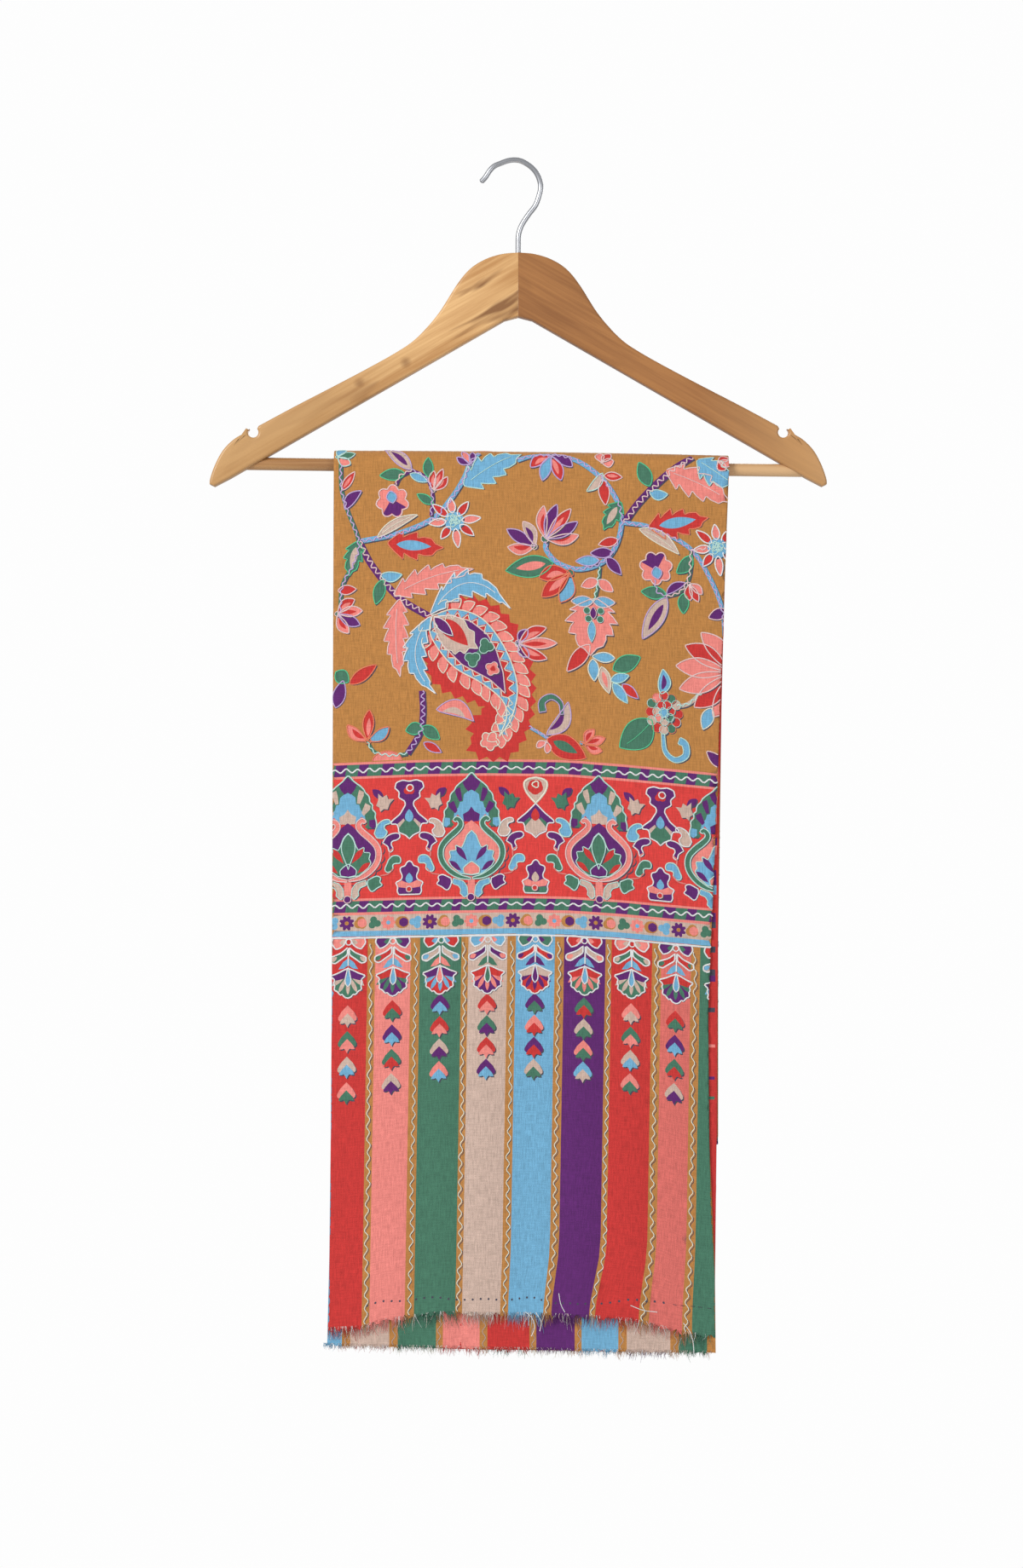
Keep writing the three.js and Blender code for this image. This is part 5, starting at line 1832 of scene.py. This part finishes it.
@dataclass(frozen=True)
class Hanger:
    """The wooden hanger: two arms glued at a mitre, a round bar let into them, and a wire hook.

    In millimetres: top is the height of the arms' upper edge at the mitre, mitre the height of that joint
    and gap its width. The lower edge starts at under and falls by pitch. notch is the distance out, drop
    and radius of the strap notches, reach half the bar's length and wire the hook wire's radius.
    """

    top: float = -59.3
    thickness: float = 12.0
    rounding: float = 1.8
    gap: float = 0.04
    mitre: float = 42.0
    pitch: float = 0.5755
    under: float = 39.2
    notch: tuple[float, float, float] = (173.1, 117.6, 3.4)
    reach: float = 191.0
    wire: float = 1.75

    def underside(self, out: float) -> tuple[float, float]:
        """A point of an arm's lower edge."""
        return out, self.under + self.pitch * out

    def notch_arc(self) -> Array:
        """The round strap notch, open through an arm's upper edge."""
        angle = np.radians(np.linspace(-222, 42, 22))
        out, drop, radius = self.notch
        return np.column_stack((out + radius * np.cos(angle), drop - radius * np.sin(angle)))

    def arm(self, side: int, material: Material) -> Piece:
        """Builds one wooden arm with rounded edges and its strap notch.

        Args:
            side: -1 on the left, +1 on the right.
            material: Its wood.

        Returns:
            The new object.
        """
        inset = -3 * self.rounding
        edge = np.vstack((
            [(inset, 0)], smooth_path(ARM_EDGE, 1.6), self.notch_arc(), smooth_path(ARM_SHOULDER, 1.2),
            [ARM_TIP], [self.underside(188)], [self.underside(9)], [(0, self.mitre)], [(inset, self.mitre)],
        ))
        name = "hanger_wood_left" if side < 0 else "hanger_wood_right"
        curve = bpy.data.curves.new(name, "CURVE")
        curve.dimensions = "2D"
        curve.fill_mode = "BOTH"
        curve.extrude = (self.thickness / 2 - self.rounding) * MM
        curve.bevel_depth = self.rounding * MM
        curve.bevel_resolution = 4
        curve.offset = -self.rounding * MM
        spline = curve.splines.new("POLY")
        spline.points.add(len(edge) - 1)
        spline.use_cyclic_u = True
        for point, (out, drop) in zip(spline.points, edge):
            point.co = (side * out * MM, -drop * MM, 0, 1)
        holder = bpy.data.objects.new(name, curve)
        bpy.context.scene.collection.objects.link(holder)
        bpy.context.view_layer.update()
        mesh = bpy.data.meshes.new_from_object(holder.evaluated_get(bpy.context.evaluated_depsgraph_get()))
        bpy.data.objects.remove(holder)
        shape = bmesh.new()
        shape.from_mesh(mesh)
        bmesh.ops.remove_doubles(shape, verts=shape.verts, dist=1e-6)
        geometry = shape.verts[:] + shape.edges[:] + shape.faces[:]
        cut = bmesh.ops.bisect_plane(
            shape, geom=geometry, plane_co=(side * self.gap / 2 * MM, 0, 0), plane_no=(side, 0, 0),
            clear_inner=True,
        )
        bmesh.ops.holes_fill(shape, edges=[e for e in cut["geom_cut"] if isinstance(e, bmesh.types.BMEdge)])
        for vertex in shape.verts:
            x, y, z = vertex.co
            vertex.co = (x + HANGER_X * MM, z, y + self.top * MM)
        bmesh.ops.recalc_face_normals(shape, faces=shape.faces)
        shape.to_mesh(mesh)
        shape.free()
        mesh.name = name
        arm = bpy.data.objects.new(name, mesh)
        bpy.context.scene.collection.objects.link(arm)
        for face in arm.data.polygons:
            face.use_smooth = True
        arm.data.set_sharp_from_angle(angle=math.radians(40))
        arm.data.materials.clear()
        arm.data.materials.append(material)
        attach(arm, ROOT)
        log.info("%s: %d faces", name, len(arm.data.polygons))
        return arm

    def rod(self, name: str, path: Array, radius: float, sides: int, material: Material) -> Piece:
        """Builds a round rod along a path in the XZ plane, with rounded ends.

        Args:
            name: Name of the piece.
            path: Rows of x and z.
            radius: Radius of the rod.
            sides: Sides of its section.
            material: Its material.

        Returns:
            The new object.
        """
        tangent = np.gradient(path, axis=0)
        tangent /= np.linalg.norm(tangent, axis=1)[:, None]
        normal = np.column_stack((-tangent[:, 1], tangent[:, 0]))
        ends = (0.35, 0.75, 1.0)
        scale = np.concatenate((ends, np.ones(len(path) - 2), ends[::-1]))
        lead = np.array((-0.42, -0.15)) * radius
        track = np.vstack((
            path[0], path[0] - tangent[0] * lead[1], path[0] - tangent[0] * lead[0],
            path[1:-1],
            path[-1] + tangent[-1] * lead[0], path[-1] + tangent[-1] * lead[1], path[-1],
        ))
        normals = np.vstack((normal[[0, 0, 0]], normal[1:-1], normal[[-1, -1, -1]]))
        angle = np.linspace(0, 2 * np.pi, sides, endpoint=False)
        ring = np.zeros((len(track), sides, 3))
        ring[..., 0] = track[:, None, 0] + normals[:, None, 0] * (radius * scale)[:, None] * np.cos(angle)
        ring[..., 2] = track[:, None, 1] + normals[:, None, 1] * (radius * scale)[:, None] * np.cos(angle)
        ring[..., 1] = (radius * scale)[:, None] * np.sin(angle)
        shape = bmesh.new()
        verts = [shape.verts.new(p * MM) for p in ring.reshape(-1, 3)]
        for i in range(len(track) - 1):
            for j in range(sides):
                a, b = i * sides + j, i * sides + (j + 1) % sides
                shape.faces.new([verts[k] for k in (a, b, b + sides, a + sides)])
        shape.faces.new(verts[:sides])
        shape.faces.new(verts[-sides:][::-1])
        bmesh.ops.recalc_face_normals(shape, faces=shape.faces)
        for face in shape.faces:
            face.smooth = True
        mesh = bpy.data.meshes.new(name)
        shape.to_mesh(mesh)
        shape.free()
        mesh.materials.append(material)
        return link(name, mesh)

    def build(self) -> None:
        """Builds the arms, bar and hook over their solids."""
        left = self.arm(-1, LEFT_TIMBER.material())
        right = self.arm(1, RIGHT_TIMBER.material())
        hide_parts("hanger_arm_left")
        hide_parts("hanger_arm_right")
        x = np.linspace(-self.reach, self.reach, 24)
        ends = np.column_stack((HANGER_X + x, BAR_Z - BAR_TILT * x))
        bar = self.rod("hanger_rail", ends, BAR_RADIUS, 40, BAR_TIMBER.material())
        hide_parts("hanger_bar")
        hook = self.rod("hanger_wire", smooth_path(HOOK_ROUTE, 0.9), self.wire, 24, Chrome().material())
        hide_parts("hanger_hook")


# Shawl


@dataclass(frozen=True)
class Fray:
    """The frayed warp along a hem: loose strands that taper, lean together in tufts and curl a little.

    name is the piece, node the solid it replaces, start and end the ends of the hem, count and length
    the number and usual length of the strands, accents the share of pale ones, at the flat place of the
    hem, and way -1 where the cloth ends below it and +1 where it ends above.
    """

    name: str
    node: str
    leaf: Leaf
    stripes: tuple
    start: float
    end: float
    count: int
    length: float
    seed: int
    accents: float
    at: float = 0.0
    way: float = -1.0

    def build(self, wools: list[Material]) -> Piece:
        """Builds the strands and dresses each in its stripe's wool, or now and then in a pale one.

        Args:
            wools: Wool of each dye.

        Returns:
            The new object.
        """
        rng = np.random.default_rng(self.seed)
        u = np.sort(rng.uniform(self.start, self.end, self.count))
        clump = np.sin(u * 1.9) + 0.6 * np.sin(u * 0.7 + 2)
        reach = self.length * np.clip(0.8 + 0.2 * clump + rng.normal(0, 0.25, self.count), 0.25, 1.8)
        drift = rng.normal(0, 0.2, self.count) - 0.14 * np.cos(u * 1.9)
        radius = rng.uniform(0.16, 0.32, self.count)
        steps = 6
        t = np.linspace(0, 1, steps)
        bend = rng.normal(0, 0.7, self.count)
        du = drift[:, None] * reach[:, None] * t + bend[:, None] * np.sin(np.pi * t)
        s = self.at + self.way * (reach[:, None] * t - 1.4)
        lift = rng.normal(0, 0.12, self.count)[:, None] * reach[:, None] * t**2
        spine = self.leaf.place((u[:, None] + du).ravel(), s.ravel(), 0.0).reshape(self.count, steps, 3)
        spine[:, :, 1] -= lift
        width = radius[:, None] * (1 - 0.72 * t)
        angle = np.linspace(0, 2 * np.pi, 3, endpoint=False)
        ring = np.zeros((self.count, steps, 3, 3))
        ring[..., 0] = np.cos(angle) * width[..., None]
        ring[..., 1] = 0.4 * np.sin(angle) * width[..., None]
        points = (spine[:, :, None] + ring).reshape(-1, 3)
        base = (np.arange(self.count)[:, None, None] * steps + np.arange(steps - 1)[None, :, None]) * 3
        k = np.arange(3)[None, None]
        a, b = base + k, base + (k + 1) % 3
        faces = np.stack((a, a + 3, b + 3, b), axis=-1).reshape(-1, 4)
        stray = rng.random(self.count)
        accent = (WHITE, ROSE, CREAM)
        dyes = np.array([
            DYES.index(accent[int(pick * 30) % 3] if pick < self.accents else stripe_dye(self.stripes, v))
            for v, pick in zip(u, stray)
        ])
        uv = np.column_stack((np.repeat(s.ravel(), 3), np.tile(angle, self.count * steps)))
        return face_mesh(self.name, points, faces, wools, np.repeat(dyes, (steps - 1) * 3), uv)


    def dress(self, wools: list[Material]) -> Piece:
        """Builds the fray and hides the solid that it replaces."""
        piece = self.build(wools)
        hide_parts(self.node)
        return piece


FRAYS = (
    Fray("fray_front", "fringe_front", FACE_LEAF, FACE_STRIPES, -121.5, 131.5, 850, 8.4, 3, 0.16),
    Fray("fray_second", "fringe_second", SECOND_LEAF, SECOND_STRIPES, -121.5, 131.5, 1100, 3.6, 5, 0.2),
    Fray("fray_third", "fringe_third", THIRD_LEAF, THIRD_STRIPES, -118.0, 130.0, 700, 5.0, 7, 0.25),
    Fray("fray_rear", "fringe_rear", FACE_LEAF, FACE_STRIPES, -119.0, 126.0, 900, 5.4, 9, 0.1, END_S, 1.0),
)


@dataclass
class Shawl:
    """The folded shawl: its leaves, the embroidery over them and the fray of its hems.

    stitch is the length of a thread's segments, fullness and flatness shape its section, leaves is the
    number of hidden leaves and rear_panel the part of the rear end panel that shows.
    """

    wools: list[Material]
    threads: list[Material]
    stitch: float = 1.15
    fullness: float = 0.87
    flatness: float = 0.6
    leaves: int = 4
    rear_panel: float = 146.0

    def skin(self, name: str, leaf: Leaf, patches: list[Patch], end: float, bands: tuple,
             ragged: float) -> Piece:
        """Builds one leaf's surface with its design cut into it.

        Args:
            name: Name of the piece.
            leaf: Its leaf.
            patches: Motifs, the lowest first.
            end: Flat length of the surface.
            bands: Rows of low, high, step up and step across.
            ragged: Unevenness of its cut ends.

        Returns:
            The new object.
        """
        edge = outline_of(leaf, 0.0, end, ragged=ragged)
        flat, triangles, dyes = cut_cloth(edge, patches, cloth_grid(leaf, bands))
        points = leaf.place(flat[:, 0], flat[:, 1])
        return face_mesh(name, points, triangles, self.wools, dyes, flat)

    def embroidery(self, name: str, leaf: Leaf, strokes: list[Stroke], low: float, high: float,
                   sides: int = 4) -> Piece:
        """Builds raised threads along flat paths.

        Args:
            name: Name of the piece.
            leaf: Leaf that they are sewn to.
            strokes: Threads of the design.
            low: Lowest flat place kept.
            high: Highest flat place kept.
            sides: Sides of a thread's section.

        Returns:
            The new object.
        """
        angle = np.linspace(0, 2 * np.pi, sides, endpoint=False)
        points, faces, index, uv = [], [], [], []
        total = 0
        for stroke in strokes:
            path = resample(stroke.path, self.stitch, stroke.closed)
            radius = self.fullness * stroke.radius
            left, right = leaf.edges(path[:, 1])
            flat = path[:, 0] + leaf.lean(path[:, 0], path[:, 1])
            keep = (flat > left - 0.4) & (flat < right + 0.4) & (path[:, 1] > low) & (path[:, 1] < high)
            if not keep.any():
                continue
            closed = stroke.closed and keep.all()
            runs = [path] if keep.all() else [
                path[run] for run in np.split(np.arange(len(path)), np.flatnonzero(np.diff(keep)) + 1)
                if keep[run[0]] and len(run) > 2
            ]
            for part in runs:
                base = leaf.place(part[:, 0], part[:, 1], 0.12)
                out = leaf.place(part[:, 0], part[:, 1], 0.62) - base
                out /= np.linalg.norm(out, axis=1)[:, None]
                if closed:
                    along = np.roll(base, -1, axis=0) - np.roll(base, 1, axis=0)
                else:
                    along = np.gradient(base, axis=0)
                along /= np.linalg.norm(along, axis=1)[:, None] + 1e-9
                across = np.cross(along, out)
                ring = (
                    base[:, None]
                    + across[:, None] * (radius * np.cos(angle))[None, :, None]
                    + out[:, None] * (self.flatness * radius * np.sin(angle))[None, :, None]
                )
                count = len(part)
                rows = np.arange(count if closed else count - 1)
                a = (rows[:, None] * sides + np.arange(sides)) + total
                b = (rows[:, None] * sides + (np.arange(sides) + 1) % sides) + total
                step_a = ((rows[:, None] + 1) % count) * sides + np.arange(sides) + total
                step_b = ((rows[:, None] + 1) % count) * sides + (np.arange(sides) + 1) % sides + total
                faces.append(np.stack((a, step_a, step_b, b), axis=-1).reshape(-1, 4))
                index.append(np.full(len(rows) * sides, DYES.index(stroke.dye)))
                points.append(ring.reshape(-1, 3))
                travelled = np.arange(count) * self.stitch
                uv.append(np.column_stack((np.repeat(travelled, sides), np.tile(angle, count))))
                total += count * sides
        quads, dyes = np.vstack(faces)[:, ::-1], np.concatenate(index)
        return face_mesh(name, np.vstack(points), quads, self.threads, dyes, np.vstack(uv))

    def selvedge(self) -> Piece:
        """Builds the patterned strip of the inner leaves that shows past the centre fold."""
        ends = np.array([0.0] + [drop for _, drop in SELVEDGE])
        drops = np.unique(np.concatenate((np.arange(4, 574, 5.0), ends[ends < 574])))
        right = column(FRONT_EDGES, drops, 3) - 0.35
        wave = 0.35 * np.sin(drops * 0.19) + 0.2 * np.sin(drops * 0.07 + 1)
        steps = np.array((-9.0, -5.0, -3.0, -1.2, 0.0))
        x = right[:, None] + steps + np.array((0, 0, 0, 0.5, 1.0)) * wave[:, None]
        lift = INNER_WALL / 2 + np.array((0.1, 0.12, 0.14, 0.1, -0.25))
        level = np.broadcast_to(INNER_LEVEL + lift, x.shape)
        points = drape(x.ravel(), level.ravel(), np.repeat(-drops, len(steps)))
        rows, columns = np.meshgrid(np.arange(len(drops) - 1), np.arange(len(steps) - 1), indexing="ij")
        corner = rows * len(steps) + columns
        below = corner + len(steps)
        faces = np.stack((corner, below, below + 1, corner + 1), axis=-1).reshape(-1, 4)
        middle = (drops[:-1] + drops[1:]) / 2
        row_dyes = np.array([DYES.index(next(dye for dye, end in SELVEDGE if at < end)) for at in middle])
        marked = np.repeat(row_dyes[:, None], len(steps) - 1, axis=1)
        marked[middle > MARKS_DROP, -1] = DYES.index(RED)
        flat = np.column_stack((x.ravel(), -np.repeat(drops, len(steps))))
        return face_mesh("selvedge_strip", points, faces, self.wools, marked.ravel(), flat)

    def core(self) -> Piece:
        """Builds the pressed inner leaves as one solid with layered edges."""
        drops = np.linspace(576, 10, 52)
        back = TOP_RUN + np.linspace(12, LOOP_DROP - 3, 38)
        runs = np.concatenate((-drops, np.linspace(0, TOP_RUN, 12), back))
        low, high = INNER_LEVEL - INNER_WALL / 2, INNER_LEVEL + INNER_WALL / 2
        pitch = (high - low) / self.leaves
        rows = []
        for run in runs:
            table = FRONT_EDGES if run < TOP_RUN else BACK_EDGES
            drop = -run if run < 0 else max(run - TOP_RUN, 0)
            left = float(column(table, drop, 1)) + FOLD_INSET
            right = float(column(table, drop, 3))
            side = []
            for k in range(self.leaves):
                top = high - k * pitch
                out = right - 0.35 * k * (1.2 + math.sin(drop * 0.03 + k))
                side += [(out - 0.25, top - 0.02), (out, top - pitch / 2), (out - 0.25, top - pitch + 0.02),
                         (out - 1.6, top - pitch)]
            upper = [(x, high) for x in np.linspace(left + 0.6, right - 2.4, 26)]
            lower = [(x, low) for x in np.linspace(right - 3.4, left + 0.6, 26)]
            fold = [(left, low + 0.3), (left - 0.25, INNER_LEVEL), (left, high - 0.3)]
            rows.append(upper + side[:-1] + lower + fold)
        ring = np.array(rows)
        count, around = ring.shape[:2]
        hems = column(INNER_HEM, ring[0, :, 0], 1)
        run_grid = np.repeat(runs[:, None], around, axis=1)
        run_grid[0] = -hems
        points = drape(ring[..., 0].ravel(), ring[..., 1].ravel(), run_grid.ravel())
        i, j = np.meshgrid(np.arange(count - 1), np.arange(around), indexing="ij")
        a, b = i * around + j, i * around + (j + 1) % around
        quads = np.stack((a, a + around, b + around, b), axis=-1)
        mesh = bmesh.new()
        verts = [mesh.verts.new(p * MM) for p in points]
        for quad in quads.reshape(-1, 4):
            mesh.faces.new([verts[k] for k in quad])
        mesh.faces.new([verts[k] for k in range(around)])
        mesh.faces.new([verts[k] for k in reversed(range((count - 1) * around, count * around))])
        bmesh.ops.recalc_face_normals(mesh, faces=mesh.faces)
        uv = mesh.loops.layers.uv.new("flat")
        for face in mesh.faces:
            face.smooth = True
            for corner in face.loops:
                row, place = divmod(corner.vert.index if corner.vert.index >= 0 else 0, around)
                corner[uv].uv = (ring[row, place, 0] * MM, -run_grid[row, place] * MM)
        data = bpy.data.meshes.new("inner_leaves_pressed")
        mesh.to_mesh(data)
        mesh.free()
        data.materials.append(self.wools[DYES.index(RED)])
        return link("inner_leaves_pressed", data)

    def build(self) -> None:
        """Builds every leaf, its embroidery and its frayed hems."""
        design = face_design()
        rim, rear = BAR_S + 14, END_S - self.rear_panel
        bands = (
            (4, BAR_S - 4, 5.5, 5.0), (BAR_S - 2, BACK_S + 4, 1.9, 5.0), (BACK_S + 8, LOOP_S - 6, 6.0, 5.5),
            (LOOP_S - 3, LOOP_S + LOOP_RUN + 4, 1.4, 6.0), (LOOP_S + 16, rear - 4, 16.0, 12.0),
            (rear, END_S - 5, 6.0, 5.5),
        )
        visible = [
            p for p in design.patches
            if p.outline[:, 1].min() < LOOP_S + 12 or p.outline[:, 1].max() > rear - 4
        ]
        face = self.skin("shawl_outer", FACE_LEAF, visible, END_S, bands, 1.3)
        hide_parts("outer_leaf")
        front = self.embroidery("embroidery_front", FACE_LEAF, design.strokes, -16.0, rim, 5)
        back = self.embroidery("embroidery_back", FACE_LEAF, design.strokes, rim, LOOP_S + 3)
        rear = self.embroidery("embroidery_rear", FACE_LEAF, design.strokes, rear, END_S - 0.5)
        second_design = stripe_design(SECOND_STRIPES, plain=True)
        bands = ((3, 60, 6, 6), (64, 572, 18, 12), (574, 610, 2.2, 12), (616, SECOND_LEAF.reach - 4, 18, 12))
        second = self.skin("shawl_second", SECOND_LEAF, second_design.patches, SECOND_LEAF.reach, bands, 0.5)
        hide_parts("second_leaf")
        second_threads = self.embroidery("embroidery_second", SECOND_LEAF, second_design.strokes, 0.5, 40)
        core = self.core()
        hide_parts("inner_leaves")
        selvedge = self.selvedge()
        strands = [fray.dress(self.wools) for fray in FRAYS]


# Stage


@dataclass(frozen=True)
class Stage:
    """The camera, the soft daylight and the floor: all that is in the scene besides the part.

    In metres: the camera's distance, the width that it sees, the point that the lights face, and the
    floor's side and height. glow and white are the surround's strength on the part and on the picture.
    """

    distance: float = 2.6
    seen: float = 1.0231
    aim: tuple[float, float, float] = (0.0, 0.0, -0.45)
    glow: float = 0.46
    white: float = 0.985
    floor: float = 1.7
    ground: float = -1.25

    def camera(self) -> None:
        """A straight-on camera that frames the photograph's view."""
        data = bpy.data.cameras.new("camera")
        data.sensor_fit = "AUTO"
        data.sensor_width = 36.0
        data.lens = data.sensor_width * self.distance / self.seen
        camera = bpy.data.objects.new("camera", data)
        camera.location = (-0.0011, -self.distance - 0.008, -0.4067)
        camera.rotation_euler = (math.radians(90), 0, 0)
        bpy.context.scene.collection.objects.link(camera)
        bpy.context.scene.camera = camera

    def light(self, name: str, place: tuple[float, float, float], size: float, power: float) -> None:
        """Adds a square soft light that faces the middle of the shawl.

        Args:
            name: Name of the light.
            place: Where it stands, in metres.
            size: Side of the square.
            power: Its power in watts.
        """
        data = bpy.data.lights.new(name, "AREA")
        data.shape = "SQUARE"
        data.size = size
        data.energy = power
        light = bpy.data.objects.new(name, data)
        light.location = place
        direction = np.array(self.aim) - np.array(place)
        light.rotation_euler = Vector(direction).to_track_quat("-Z", "Y").to_euler()
        bpy.context.scene.collection.objects.link(light)

    def build(self) -> None:
        """A white surround, soft lights and a pale floor well below."""
        scene = bpy.context.scene
        scene.view_settings.view_transform = "Standard"
        world = bpy.data.worlds.new("studio")
        world.use_nodes = True
        tree = world.node_tree
        seen = tree.nodes.new("ShaderNodeLightPath").outputs["Is Camera Ray"]
        strength = tree.nodes.new("ShaderNodeMapRange")
        tree.links.new(seen, strength.inputs["Value"])
        strength.inputs["To Min"].default_value = self.glow
        strength.inputs["To Max"].default_value = self.white
        tree.links.new(strength.outputs[0], tree.nodes["Background"].inputs["Strength"])
        tree.nodes["Background"].inputs["Color"].default_value = (1, 1, 1, 1)
        scene.world = world
        self.light("key", (-1.7, -1.7, 0.8), 0.9, 46)
        self.light("fill", (1.5, -2.0, -0.2), 1.2, 12)
        self.light("back", (0.4, 1.9, 0.5), 1.4, 16)
        bpy.ops.mesh.primitive_grid_add(x_subdivisions=8, y_subdivisions=8, size=self.floor)
        floor = bpy.context.object
        floor.name = "floor"
        for vertex in floor.data.vertices:
            vertex.co.z = self.ground
        floor.data.materials.append(Plaster().material())
        floor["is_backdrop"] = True


def main() -> None:
    """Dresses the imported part."""
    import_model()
    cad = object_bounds()
    stage = Stage()
    stage.camera()
    Hanger().build()
    Shawl([Wool(dye).material() for dye in DYES], [Yarn(dye).material() for dye in DYES]).build()
    stage.build()
    boxes = {"cad": cad, "visual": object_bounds()}
    {k: [list(map(float, corner)) for corner in v] for k, v in boxes.items()}


if __name__ == "__main__":
    logging.basicConfig(level=logging.INFO, format="%(name)s: %(message)s", stream=sys.stdout)
    main()
